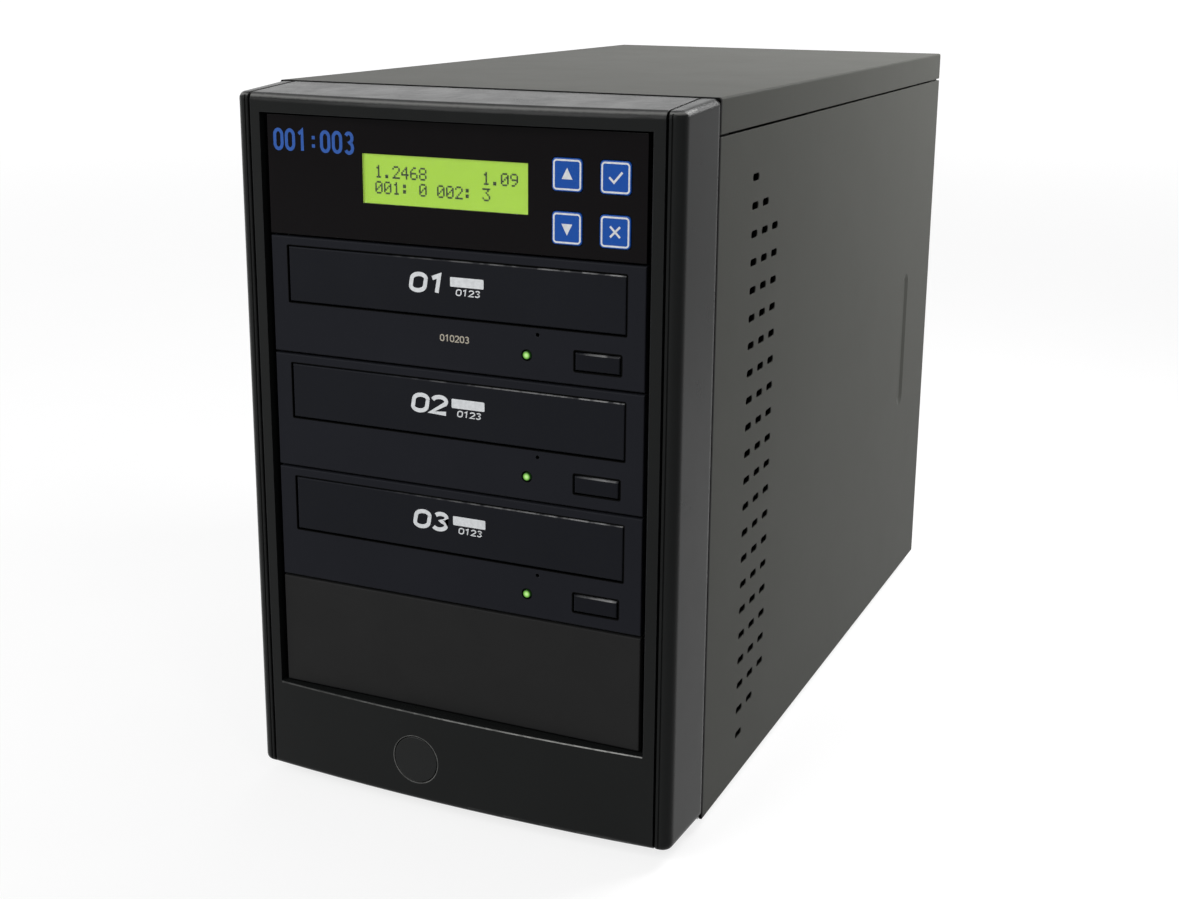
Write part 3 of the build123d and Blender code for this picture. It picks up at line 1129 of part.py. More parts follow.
def power_inlet():
    """Mains socket and switch housing, set in the supply's rear wall."""
    z = BASE_Z + INLET_Z
    rocker_z = BASE_Z + ROCKER_Z
    flange_y = (REAR_IN, REAR_IN + INLET_FLANGE_THICK)
    flange_x = centred(INLET_X, INLET_WIDTH + 2 * INLET_FLANGE)
    flange_z = (rocker_z - ROCKER_WIDTH / 2 - 2 - INLET_FLANGE, z + INLET_HEIGHT / 2 + INLET_FLANGE)
    inlet = block(flange_x, flange_y, flange_z)
    inlet = fillet(inlet.edges().filter_by(Axis.Y), 2)
    body_y = (REAR_IN - INLET_DEPTH, REAR_IN)
    gap = 2 * SHAFT_FIT
    inlet += block(centred(INLET_X, INLET_WIDTH - gap), body_y, centred(z, INLET_HEIGHT - gap))
    socket_y = (flange_y[1] - SOCKET_DEPTH, flange_y[1] + 1)
    inlet -= block(centred(INLET_X, SOCKET_WIDTH), socket_y, centred(z, SOCKET_HEIGHT))
    for pin_x, pin_z in PINS:
        pin_y = (socket_y[0] - 1, socket_y[0] + PIN_LENGTH)
        inlet += block(centred(INLET_X + pin_x, PIN_WIDTH), pin_y, centred(z + pin_z, PIN_HEIGHT))
    house_x = centred(INLET_X, ROCKER_HEIGHT + 4 - gap)
    house_z = centred(rocker_z, ROCKER_WIDTH + 4 - gap)
    inlet += block(house_x, (REAR_IN - ROCKER_DEPTH - 6, REAR_IN), house_z)
    well_x = centred(INLET_X, ROCKER_HEIGHT + 2 * ROCKER_GAP)
    well_z = centred(rocker_z, ROCKER_WIDTH + 2 * ROCKER_GAP)
    inlet -= block(well_x, (REAR_IN - ROCKER_DEPTH - 4, flange_y[1] + 1), well_z)
    pivot_y = rocker_pivot_y()
    bore = PIVOT_RADIUS + SHAFT_FIT
    inlet -= along_z(bore, INLET_X, pivot_y, centred(rocker_z, ROCKER_WIDTH + 2 * ROCKER_GAP + 2))
    return inlet


def rocker_pivot_y():
    return REAR_IN - ROCKER_DEPTH / 2


def rocker_switch():
    """Rocker cap with a shallow V face, resting on its left half."""
    half = ROCKER_HEIGHT / 2
    face = ROCKER_DEPTH / 2 + INLET_FLANGE_THICK
    rise = half * sin(radians(ROCKER_TILT))
    outline = Polygon((-half + 1, -1.5), (half - 1, -1.5), (half - 0.6, face + rise), (0, face),
                      (-half + 0.6, face + rise), align=None)
    z = BASE_Z + ROCKER_Z
    cap = Pos(0, 0, z - ROCKER_WIDTH / 2) * extrude(outline, ROCKER_WIDTH, dir=(0, 0, 1))
    cap += along_z(PIVOT_RADIUS, 0, 0, centred(z, ROCKER_WIDTH + 2 * ROCKER_GAP + 1.6))
    return Pos(INLET_X, rocker_pivot_y(), 0) * Rot(0, 0, ROCKER_TILT) * cap


# ---- Screws -----------------------------------------------------------------------------
def screw_in_y(x, back, z):
    """A pan-head screw driven forwards into a wall whose outside lies at y = back."""
    head = along_y(SCREW_HEAD_RADIUS, x, (back, back + SCREW_HEAD), z)
    head = fillet(head.edges().group_by(Axis.Y)[-1], SCREW_HEAD * 0.4)
    return head + along_y(SCREW_RADIUS, x, (back - SCREW_LENGTH, back + SCREW_HEAD / 2), z)


def screw_in_x(x, y, z):
    """A pan-head screw driven inwards through a cage plate whose outside lies at x."""
    head = along_x(SCREW_HEAD_RADIUS, (x, x + SCREW_HEAD), y, z)
    shank_x = (x - SHEET - CAGE_GAP - SHEET - 0.5, x + SCREW_HEAD / 2)
    return head + along_x(SCREW_RADIUS, shank_x, y, z)


def chassis_screws():
    screws = []
    for x, z in fan_holes(0, BASE_Z + CASE_FAN_Z) + psu_holes():
        screws.append(screw_in_y(x, REAR_OUT, z))
    for x, z in top_screw_places():
        screws.append(screw_in_y(x, CASE_DEPTH, z))
    for y, z in drive_screw_places():
        screw = screw_in_x(CAGE_X + SHEET, y, z)
        screws.append(screw)
        screws.append(mirrored(screw))
    return group(screws)


def thumbscrew(x, z):
    y = CASE_DEPTH
    head = Circle(THUMB_RADIUS)
    for knurl in range(THUMB_KNURLS):
        angle = radians(360 / THUMB_KNURLS * knurl)
        head -= Pos(THUMB_RADIUS * cos(angle), THUMB_RADIUS * sin(angle)) * Circle(KNURL_RADIUS)
    screw = through_y(Pos(x, z) * head, (y, y + THUMB_HEAD))
    return screw + along_y(SCREW_RADIUS, x, (y - THUMB_SHANK, y + 1), z)


def thumbscrews():
    return group([thumbscrew(x, z) for x, z in thumb_places()])


# ---- Leads ------------------------------------------------------------------------------
def lead(points):
    path = FilletPolyline(*points, radius=LEAD_BEND)
    section = Plane(origin=path @ 0, z_dir=path % 0) * Circle(LEAD_RADIUS)
    return sweep(section, path=path)


def power_lane_x(lane):
    """Where a power lead leaves the supply: one lane for each drive, then the controller's."""
    if lane == len(DRIVE_BAYS):
        return board_plug_x()
    return POWER_PLUG_X + LEAD_STEP * (lane - 1)


def board_plug_x():
    return POWER_PLUG_X + LEAD_STEP * (len(DRIVE_BAYS) - 1) + BOARD_LEAD_STEP


def power_exit_z():
    return BASE_Z + PSU_HEIGHT * 0.6


def drive_plug_z(drive):
    """Height of a drive's rear sockets, for drives counted from the top."""
    return bay_z(DRIVE_BAYS[drive]) + DRIVE_BOARD_Z + BOARD + PLUG_HEIGHT / 2


def plug(x, width, front, z):
    return block(centred(x, width), (front, front + PLUG_DEPTH), centred(z, PLUG_HEIGHT - 1))


def signal_cables():
    """Three data leads from the controller board to the drives, and the display's ribbon."""
    made = []
    board_end = FRONT_Y + CONTROLLER_END_Y
    board_top = bay_z(0) + CONTROLLER_Z + BOARD
    start_z = board_top + PLUG_HEIGHT / 2
    for drive in range(len(DRIVE_BAYS)):
        x = data_lane_x(drive)
        z = drive_plug_z(drive)
        lane_y = DRIVE_END_Y + PLUG_DEPTH + LANE_START + LEAD_STEP * drive
        points = [(x, board_end + PLUG_DEPTH, start_z), (x, lane_y, start_z),
                  (DATA_PLUG_X, lane_y, z), (DATA_PLUG_X, DRIVE_END_Y + PLUG_DEPTH, z)]
        cable = lead(points)
        cable += plug(x, DATA_PLUG_WIDTH - 1, board_end, start_z)
        cable += plug(DATA_PLUG_X, DATA_PLUG_WIDTH - 1, DRIVE_END_Y, z)
        made.append(cable)
    ribbon_y = (FRONT_Y + lcd_board_y() + BOARD, FRONT_Y + CONTROLLER_FRONT_Y + SOCKET_LENGTH - 2)
    ribbon_z = (board_top + 2, board_top + 2 + RIBBON_THICK)
    made.append(block(centred(RIBBON_X, RIBBON_WIDTH), ribbon_y, ribbon_z))
    return group(made)


def power_harness():
    """Leads from the supply to the three drives and to the controller board."""
    made = []
    board_end = FRONT_Y + CONTROLLER_END_Y
    lane_y = PSU_Y - LEAD_BEND - LEAD_STEP / 2
    board_z = bay_z(0) + CONTROLLER_Z + BOARD + PLUG_HEIGHT / 2 + 1
    ends = [(DRIVE_END_Y, drive_plug_z(drive), POWER_PLUG_X, POWER_PLUG_WIDTH)
            for drive in range(len(DRIVE_BAYS))]
    ends.append((board_end, board_z, board_plug_x(), BOARD_PLUG_WIDTH))
    for lane, (end_y, z, plug_x, width) in enumerate(ends):
        x = power_lane_x(lane)
        points = [(x, PSU_Y + SHEET, power_exit_z()), (x, lane_y, power_exit_z()),
                  (x, lane_y, z), (x, end_y + PLUG_DEPTH, z)]
        made.append(lead(points) + plug(plug_x, width - 1, end_y, z))
    return group(made)


# ---- All pieces, and the files ----------------------------------------------------------
def case_pieces():
    cover = side_cover()
    screws = thumbscrews()
    return {
        "base_pan": base_pan(),
        "feet": feet(),
        "front_plate": front_plate(),
        "rear_panel": rear_panel(),
        "drive_cage": drive_cage(),
        "top_cover": top_cover(),
        "side_cover_right": cover,
        "side_cover_left": mirrored(cover),
        "thumbscrews_right": screws,
        "thumbscrews_left": mirrored(screws),
        "chassis_screws": chassis_screws(),
        "bezel": bezel(),
        "bezel_pillars": bezel_pillars(),
        "power_button": power_button(),
        "power_switch": power_switch(),
        "signal_cables": signal_cables(),
        "power_harness": power_harness(),
    }


def supply_pieces():
    case_fan = (0, BASE_Z + CASE_FAN_Z, REAR_IN)
    psu_fan = (PSU_FAN_X, PSU_FAN_Z, REAR_IN - SHEET)
    return {
        "psu_case": psu_case(),
        "psu_board": psu_board(),
        "power_inlet": power_inlet(),
        "rocker_switch": rocker_switch(),
        "fan_frames": group([fan_frame(*case_fan), fan_frame(*psu_fan)]),
        "case_fan_rotor": fan_rotor(*case_fan),
        "psu_fan_rotor": fan_rotor(*psu_fan),
    }


def control_pieces():
    drawn = {
        "control_front": control_front(),
        "control_tray": control_tray(),
        "lcd_window": lcd_window(),
        "lcd_module": lcd_module(),
        "key_board": key_board(),
        "copy_controller": copy_controller(),
    }
    for name, (x, z) in key_places():
        drawn[name] = key_cap(x, z)
    return {name: in_bay(0, shape) for name, shape in drawn.items()}


def drive_pieces():
    """Every piece of the three drives; what is alike and fixed in all three shares a node."""
    own = {
        "drive_case": drive_case(),
        "drive_front": drive_front(),
        "tray": tray(),
        "tray_door": tray_door(),
        "eject_button": eject_button(),
        "turntable": turntable(),
        "laser_sled": laser_sled(),
    }
    shared = {
        "light_pipes": [light_pipe()],
        "guide_rods": [rod(-ROD_X), rod(ROD_X)],
        "drive_boards": [drive_board()],
        "drive_frames": [drive_frame(), disc_clamp()],
    }
    pieces = {f"{name}_{bay}": in_bay(bay, shape) for bay in DRIVE_BAYS for name, shape in own.items()}
    for name, shapes in shared.items():
        pieces[name] = group([in_bay(bay, shape) for bay in DRIVE_BAYS for shape in shapes])
    return pieces


def build():
    blank = {"blank_panel": in_bay(BLANK_BAY, blank_panel())}
    return case_pieces() | supply_pieces() | control_pieces() | drive_pieces() | blank


os.makedirs("parts", exist_ok=True)
for node, shape in build().items():
    write(node, shape)
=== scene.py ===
import math
import bmesh
import bpy
from mathutils import Matrix, Vector


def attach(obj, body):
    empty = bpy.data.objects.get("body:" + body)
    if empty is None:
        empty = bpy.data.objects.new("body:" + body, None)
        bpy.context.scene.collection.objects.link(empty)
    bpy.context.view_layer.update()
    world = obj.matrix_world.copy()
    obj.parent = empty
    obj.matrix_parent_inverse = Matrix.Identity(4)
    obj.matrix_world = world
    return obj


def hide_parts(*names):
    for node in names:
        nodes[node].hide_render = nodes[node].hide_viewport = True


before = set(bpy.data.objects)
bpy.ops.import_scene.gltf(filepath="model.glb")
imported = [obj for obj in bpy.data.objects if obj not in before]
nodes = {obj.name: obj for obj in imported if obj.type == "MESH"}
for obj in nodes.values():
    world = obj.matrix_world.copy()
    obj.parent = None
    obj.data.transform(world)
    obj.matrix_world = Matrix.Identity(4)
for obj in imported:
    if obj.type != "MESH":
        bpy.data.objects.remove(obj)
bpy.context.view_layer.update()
scene = bpy.context.scene
scene.view_settings.view_transform = "Standard"
MM = 0.001

# ---- Places on the object, in metres, which the painted marks and prints follow ------------
LOWEST_BAY, BAY_PITCH = 0.0431, 0.044
DOOR = (0.0, 0.0293, 0.0669, 0.0101)            # middle across and up, then half sizes
EJECT = (0.0568, 0.0084, 0.00825, 0.00305)
LIGHT = (0.0299, 0.0086, 0.0, 0.0)
POWER = (-0.0149, 0.0229, 0.0, 0.0)
ROCKER_RING = (0.0398, 0.036, 0.0, 0.0)
ROCKER_BAR = (0.0492, 0.036, 0.0001, 0.0015)
ROCKER_FACE = 0.172
OPENING_LOW, OPENING_HALF = 0.0422, 0.0762
BEZEL_FACE, BEZEL_CROWN, BEZEL_BACK = -0.176, 0.262, -0.1524
COVER_OUT, COVER_IN = 0.08765, 0.08702
CASE_EDGE, CASE_SIDE, VENTS_END = -0.1495, 0.087, -0.05
CROWN_FRONT, DRIVE_FACE, RIBBON_END = -0.17, -0.1798, -0.05
PLUGS = ((-0.0405, -0.0315), (-0.0105, -0.0015))
DISPLAY_BACK, KEY_BOARD_FACE = -0.1711, -0.17135
CONTROLLER_BOARD, SUPPLY_BOARD = (0.2259, 0.2277), (0.0119, 0.0137)
SINK_SPAN = ((-0.019, 0.009), (-0.115, -0.086))
SUPPLY_SINKS = ((-0.0385, -0.0235), (0.0115, 0.0265))
# Near black for the painted shade round the drive fronts' gaps.
SHADE_BLACK = (0.0006, 0.0006, 0.0006)


# ---- Materials --------------------------------------------------------------------------
class Tree:
    """A material's node tree, with short calls to add and join nodes."""

    def __init__(self, name):
        self.material = bpy.data.materials.new(name)
        self.material.use_nodes = True
        self.tree = self.material.node_tree
        self.tree.nodes.clear()
        self.out = self.add("ShaderNodeOutputMaterial")
        self.place = self.add("ShaderNodeTexCoord").outputs["Object"]

    def add(self, kind, values=None, **facts):
        node = self.tree.nodes.new(kind)
        for key, value in facts.items():
            setattr(node, key, value)
        for key, value in (values or {}).items():
            if isinstance(value, bpy.types.NodeSocket):
                self.tree.links.new(value, node.inputs[key])
            else:
                node.inputs[key].default_value = value
        return node

    def math(self, operation, a, b=0.0, clamp=False):
        node = self.add("ShaderNodeMath", {0: a, 1: b}, operation=operation, use_clamp=clamp)
        return node.outputs[0]

    def mix(self, factor, a, b):
        node = self.add("ShaderNodeMix", {0: factor, 6: a, 7: b}, data_type="RGBA")
        return node.outputs[2]

    def scaled(self, scale):
        return self.add("ShaderNodeMapping", {"Vector": self.place, "Scale": scale}).outputs[0]

    def noise(self, scale, detail=3.0, rough=0.55, vector=None):
        values = {"Vector": vector or self.place, "Scale": scale, "Detail": detail, "Roughness": rough}
        return self.add("ShaderNodeTexNoise", values).outputs["Fac"]

    def ranged(self, value, low, high, to_low, to_high):
        values = {0: value, 1: low, 2: high, 3: to_low, 4: to_high}
        return self.add("ShaderNodeMapRange", values).outputs[0]

    def axis(self, index):
        return self.add("ShaderNodeSeparateXYZ", {0: self.place}).outputs[index]

    def above(self, index, limit):
        """1 where the place is past the limit along an axis, and 0 elsewhere."""
        return self.math("GREATER_THAN", self.axis(index), limit)

    def inside(self, index, low, high):
        """1 between two planes across an axis, and 0 elsewhere."""
        return self.math("MULTIPLY", self.above(index, low), self.math("LESS_THAN", self.axis(index), high))

    def bay_height(self):
        """The height above the lower edge of whichever bay the place lies in."""
        from_lowest = self.math("SUBTRACT", self.axis(2), LOWEST_BAY)
        return self.math("FLOORED_MODULO", from_lowest, BAY_PITCH)

    def reach(self, x, z, half_x, half_z, height=None):
        """The distance from an upright rectangle, seen from the front."""
        across = self.math("SUBTRACT", self.math("ABSOLUTE", self.math("SUBTRACT", self.axis(0), x)), half_x)
        along = self.math("SUBTRACT", height or self.axis(2), z)
        along = self.math("SUBTRACT", self.math("ABSOLUTE", along), half_z)
        across = self.math("MAXIMUM", across, 0.0)
        along = self.math("MAXIMUM", along, 0.0)
        squares = self.math("ADD", self.math("POWER", across, 2.0), self.math("POWER", along, 2.0))
        return self.math("SQRT", squares)

    def rounded(self, radius):
        return self.add("ShaderNodeBevel", {"Radius": radius}, samples=4).outputs[0]

    def edges(self, soft, gain):
        """How far the softened normal leaves the true one, which marks the edges."""
        true = self.add("ShaderNodeNewGeometry").outputs["Normal"]
        dot = self.add("ShaderNodeVectorMath", {0: soft, 1: true}, operation="DOT_PRODUCT")
        turned = self.math("SUBTRACT", 1.0, dot.outputs["Value"])
        return self.math("MULTIPLY", turned, gain, clamp=True)

    def bump(self, height, strength, distance, normal=None):
        values = {"Height": height, "Strength": strength, "Distance": distance}
        if normal:
            values["Normal"] = normal
        return self.add("ShaderNodeBump", values).outputs[0]

    def principled(self, values):
        shader = self.add("ShaderNodeBsdfPrincipled", values)
        self.tree.links.new(shader.outputs[0], self.out.inputs[0])
        return shader


def rgb(colour, factor=1.0):
    return (colour[0] * factor, colour[1] * factor, colour[2] * factor, 1.0)


def moulding(name, colour, rough, specular=0.35, grain=2600, grain_depth=0.25, wear_and_glint=(0.10, 0.105, 0.11),
             wear_and_glint_gain=1.6, edge=0.25 * MM, marks=None):
    """Moulded plastic: fine mould grain, slow colour and gloss changes, paler edges that are partly wear and
    partly a painted highlight.
    """
    t = Tree(name)
    soft = t.rounded(edge)
    slow = t.noise(22, 4)
    tone = t.mix(slow, rgb(colour, 0.88), rgb(colour, 1.12))
    patchy = t.ranged(t.noise(180, 4), 0.35, 0.7, 0.25, 1.0)
    # Paler edges: wear, and where the gain is high also a painted highlight along the edges.
    pale_edges = t.math("MULTIPLY", t.edges(soft, wear_and_glint_gain), patchy)
    tone = t.mix(pale_edges, tone, rgb(wear_and_glint))
    if marks:
        tone = marks(t, tone)
    gloss = t.ranged(t.noise(60, 5, 0.65), 0.3, 0.7, rough - 0.06, rough + 0.06)
    normal = t.bump(t.noise(grain, 2), grain_depth, 0.03 * MM, soft)
    t.principled({"Base Color": tone, "Roughness": gloss, "Specular IOR Level": specular, "Normal": normal})
    return t.material


def front_gap_shade(t, tone):
    """Painted shade: dark bands round the doors, the eject buttons and the lights, where their gaps and
    recesses are in shade.
    """
    height = t.bay_height()
    button = t.math("LESS_THAN", t.reach(*EJECT, height), 0.95 * MM)
    light = t.math("LESS_THAN", t.reach(*LIGHT, height), 2.1 * MM)
    door = t.math("LESS_THAN", t.reach(*DOOR, height), 0.75 * MM)
    # Painted shade in the gaps and recesses.
    dark = t.math("MAXIMUM", t.math("MAXIMUM", button, light), door)
    return t.mix(dark, tone, rgb(SHADE_BLACK))


def glint(t, tone, low, high, start, end, bright):
    """A painted highlight along an edge between two heights of a bay, stronger towards the right."""
    height = t.bay_height()
    band = t.math("MULTIPLY", t.math("GREATER_THAN", height, low), t.math("LESS_THAN", height, high))
    along = t.math("MULTIPLY", t.ranged(t.axis(0), start, end, 0.0, 1.0), band)
    patchy = t.ranged(t.noise(150, 3), 0.42, 0.56, 0.1, 1.0)
    near = t.math("LESS_THAN", t.axis(1), DRIVE_FACE)
    mask = t.math("MULTIPLY", t.math("MULTIPLY", along, patchy), near)
    return t.mix(mask, tone, rgb((bright, bright, bright)))


# A painted highlight along the doors' top edges.
def door_highlight(t, tone):
    return glint(t, tone, 39.0 * MM, 39.5 * MM, -0.03, 0.066, 0.30)


# A painted highlight along the eject buttons' top edges.
def eject_highlight(t, tone):
    return glint(t, tone, 10.9 * MM, 11.5 * MM, 0.049, 0.064, 0.30)


def bezel_highlights_and_seam_shade(t, tone):
    """Painted highlights: along the opening's lower edge, round the rim of the button's hole and along the
    top's front edge; and painted shade in the seam in front of the covers."""
    # A painted highlight along the opening's lower edge.
    low = t.inside(2, OPENING_LOW - 0.65 * MM, OPENING_LOW - 0.15 * MM)
    along = t.ranged(t.axis(0), -0.05, 0.07, 0.15, 1.0)
    patchy = t.ranged(t.noise(240, 3), 0.38, 0.55, 0.5, 1.0)
    near = t.math("LESS_THAN", t.axis(1), BEZEL_FACE)
    near = t.math("MULTIPLY", near, t.inside(0, -OPENING_HALF, OPENING_HALF))
    line = t.math("MULTIPLY", t.math("MULTIPLY", low, along), t.math("MULTIPLY", patchy, near))
    # A painted highlight round the rim of the button's hole.
    rim = t.reach(*POWER)
    rim = t.math("MULTIPLY", t.math("GREATER_THAN", rim, 9.25 * MM), t.math("LESS_THAN", rim, 9.75 * MM))
    rim = t.math("MULTIPLY", t.math("MULTIPLY", rim, 0.30), patchy)
    tone = t.mix(t.math("MAXIMUM", line, rim), tone, rgb((0.50, 0.50, 0.48)))
    # A painted highlight on the top's rounded front edge, picked out by the tilt of the normal.
    tilt = t.add("ShaderNodeSeparateXYZ", {0: t.add("ShaderNodeTexCoord").outputs["Normal"]}).outputs[2]
    rise = t.math("MULTIPLY", t.ranged(tilt, 0.40, 0.62, 0.0, 1.0), t.ranged(tilt, 0.70, 0.90, 1.0, 0.0))
    crown_highlight = t.math("MULTIPLY", rise, t.above(2, BEZEL_CROWN))
    crown_highlight = t.math("MULTIPLY", crown_highlight, t.math("LESS_THAN", t.axis(1), CROWN_FRONT))
    tone = t.mix(crown_highlight, tone, rgb((0.17, 0.17, 0.165)))
    # Painted shade on the pillars' back edge, in the seam in front of the covers.
    side = t.math("GREATER_THAN", t.math("ABSOLUTE", t.axis(0)), CASE_SIDE)
    seam_shade = t.math("MULTIPLY", t.above(1, BEZEL_BACK), side)
    return t.mix(seam_shade, tone, rgb((0.001, 0.001, 0.001)))


def plug_mask(t):
    first, second = PLUGS
    return t.math("MAXIMUM", t.inside(1, *first), t.inside(1, *second))


def data_marks(t, tone):
    """Black plugs at the leads' ends, and a grey ribbon with its lanes."""
    tone = t.mix(plug_mask(t), tone, rgb((0.012, 0.012, 0.013)))
    lanes = t.ranged(t.math("SINE", t.math("MULTIPLY", t.axis(0), 5000.0)), -0.2, 0.2, 0.75, 1.0)
    grey = t.mix(lanes, rgb((0.08, 0.08, 0.085)), rgb((0.34, 0.34, 0.35)))
    return t.mix(t.math("LESS_THAN", t.axis(1), RIBBON_END), tone, grey)


def power_marks(t, tone):
    """Ivory plugs at the leads' ends."""
    return t.mix(plug_mask(t), tone, rgb((0.52, 0.49, 0.40)))


def rocker_marks(t, tone):
    """A printed O and I on the rocker's two ends."""
    ring = t.reach(*ROCKER_RING)
    ring = t.math("MULTIPLY", t.math("GREATER_THAN", ring, 1.3 * MM), t.math("LESS_THAN", ring, 1.9 * MM))
    bar = t.math("LESS_THAN", t.reach(*ROCKER_BAR), 0.2 * MM)
    behind = t.above(1, ROCKER_FACE)
    return t.mix(t.math("MULTIPLY", t.math("MAXIMUM", ring, bar), behind), tone, rgb((0.75, 0.75, 0.74)))


def case_seam_shade(t, tone):
    """Painted shade in the seam: the rolled front edge behind the bezel is painted dark."""
    return t.mix(t.math("LESS_THAN", t.axis(1), CASE_EDGE), tone, rgb((0.004, 0.004, 0.004)))


def cover_vent_shade(t, tone):
    """Painted shade: the inside and the walls of the vents are painted dark."""
    across = t.math("ABSOLUTE", t.axis(0))
    vents = t.math("LESS_THAN", t.axis(1), VENTS_END)
    vents = t.math("MULTIPLY", t.math("LESS_THAN", across, COVER_OUT), vents)
    vent_shade = t.math("MAXIMUM", vents, t.math("LESS_THAN", across, COVER_IN))
    return case_seam_shade(t, t.mix(vent_shade, tone, rgb((0.005, 0.005, 0.005))))


def powder_coat(name, colour, rough, ior, marks=None):
    """Textured paint on steel: fine orange peel, dust in the hollows, rubbed edges."""
    t = Tree(name)
    soft = t.rounded(0.35 * MM)
    slow = t.noise(9, 4)
    tone = t.mix(slow, rgb(colour, 0.96), rgb(colour, 1.04))
    fleck = t.ranged(t.noise(5200, 2), 0.60, 0.74, 0.0, 0.35)
    tone = t.mix(fleck, tone, rgb(colour, 2.2))
    patchy = t.ranged(t.noise(260, 4), 0.45, 0.7, 0.0, 1.0)
    pale_edges = t.math("MULTIPLY", t.edges(soft, 1.4), patchy)
    tone = t.mix(pale_edges, tone, rgb((0.20, 0.20, 0.195)))
    if marks:
        tone = marks(t, tone)
    gloss = t.ranged(t.noise(35, 5, 0.6), 0.3, 0.7, rough - 0.012, rough + 0.018)
    peel = t.add("ShaderNodeTexVoronoi", {"Vector": t.place, "Scale": 1500.0}, feature="SMOOTH_F1").outputs[0]
    height = t.math("ADD", peel, t.math("MULTIPLY", t.noise(3600, 2), 0.6))
    normal = t.bump(height, 0.35, 0.05 * MM, soft)
    t.principled({"Base Color": tone, "Roughness": gloss, "IOR": ior, "Specular Tint": (1.0, 0.99, 0.94, 1.0),
                  "Normal": normal})
    return t.material


def plated(name, colour, rough, stretch=(1, 1, 1), spangle=0.0, line=420):
    """Bare metal: rolling or turning lines, spangle, smudges and bright edges."""
    t = Tree(name)
    soft = t.rounded(0.2 * MM)
    lines = t.noise(line, 3, 0.6, t.scaled(stretch))
    tone = t.mix(lines, rgb(colour, 0.86), rgb(colour, 1.06))
    if spangle:
        cells = t.add("ShaderNodeTexVoronoi", {"Vector": t.place, "Scale": 260.0}).outputs["Color"]
        grey = t.add("ShaderNodeSeparateColor", {0: cells}).outputs[0]
        tone = t.mix(t.math("MULTIPLY", grey, spangle), tone, rgb(colour, 0.7))
    stain = t.ranged(t.noise(28, 5, 0.7), 0.5, 0.75, 0.0, 0.45)
    tone = t.mix(stain, tone, rgb(colour, 0.72))
    tone = t.mix(t.edges(soft, 0.8), tone, rgb(colour, 1.15))
    gloss = t.ranged(t.noise(90, 4, 0.6), 0.3, 0.7, rough - 0.07, rough + 0.09)
    normal = t.bump(lines, 0.12, 0.02 * MM, soft)
    t.principled({"Base Color": tone, "Roughness": gloss, "Metallic": 0.95, "Normal": normal})
    return t.material


def board(name, parts, metal=None):
    """Circuit board: green lacquer with copper lanes, and dark parts where parts(t) says so."""
    t = Tree(name)
    lanes = t.add("ShaderNodeTexBrick", {"Vector": t.place, "Scale": 300.0, "Mortar Size": 0.018,
                                         "Brick Width": 0.7, "Row Height": 0.35}).outputs["Fac"]
    green = t.mix(t.noise(60), rgb((0.006, 0.055, 0.022)), rgb((0.012, 0.085, 0.034)))
    green = t.mix(t.math("MULTIPLY", lanes, 0.6), green, rgb((0.03, 0.16, 0.06)))
    dots = t.add("ShaderNodeTexVoronoi", {"Vector": t.place, "Scale": 330.0}).outputs["Distance"]
    green = t.mix(t.math("LESS_THAN", dots, 0.16), green, rgb((0.42, 0.40, 0.34)))
    dark = t.mix(t.noise(800), rgb((0.012, 0.012, 0.013)), rgb((0.028, 0.028, 0.030)))
    if metal:
        dark = t.mix(metal(t), dark, rgb((0.42, 0.43, 0.44)))
    tone = t.mix(parts(t), green, dark)
    gloss = t.ranged(t.noise(150, 4), 0.3, 0.7, 0.28, 0.5)
    normal = t.bump(t.noise(1500, 2), 0.2, 0.03 * MM, t.rounded(0.15 * MM))
    t.principled({"Base Color": tone, "Roughness": gloss, "Specular IOR Level": 0.5, "Normal": normal})
    return t.material


def glow(name, colour, dark, strength):
    """A lit face: an even glow with a faint grain, behind a smooth skin."""
    t = Tree(name)
    slow = t.noise(40, 3)
    grain = t.noise(900, 2)
    tone = t.mix(t.math("MULTIPLY", slow, 0.6), rgb(colour), rgb(dark))
    tone = t.mix(t.math("MULTIPLY", grain, 0.12), tone, rgb(dark))
    normal = t.bump(grain, 0.05, 0.01 * MM)
    t.principled({"Base Color": rgb(dark, 0.35), "Roughness": 0.25, "Specular IOR Level": 0.2,
                  "Emission Color": tone, "Emission Strength": strength, "Normal": normal})
    return t.material


def lit_pipe(name):
    """A lit plastic pipe: pale in the middle, green round it, and dark at its rim."""
    t = Tree(name)
    out = t.reach(*LIGHT, t.bay_height())
    grain = t.noise(900, 2)
    fade = t.ranged(out, 0.4 * MM, 1.0 * MM, 0.0, 1.0)
    tone = t.mix(fade, rgb((0.52, 0.86, 0.30)), rgb((0.16, 0.46, 0.05)))
    tone = t.mix(t.ranged(out, 1.05 * MM, 1.35 * MM, 0.0, 1.0), tone, rgb((0.004, 0.02, 0.002)))
    gloss = t.ranged(grain, 0.3, 0.7, 0.16, 0.24)
    t.principled({"Base Color": rgb((0.01, 0.03, 0.004)), "Roughness": gloss, "Specular IOR Level": 0.2,
                  "Emission Color": tone, "Emission Strength": 0.95, "Normal": t.bump(grain, 0.1, 0.01 * MM)})
    return t.material


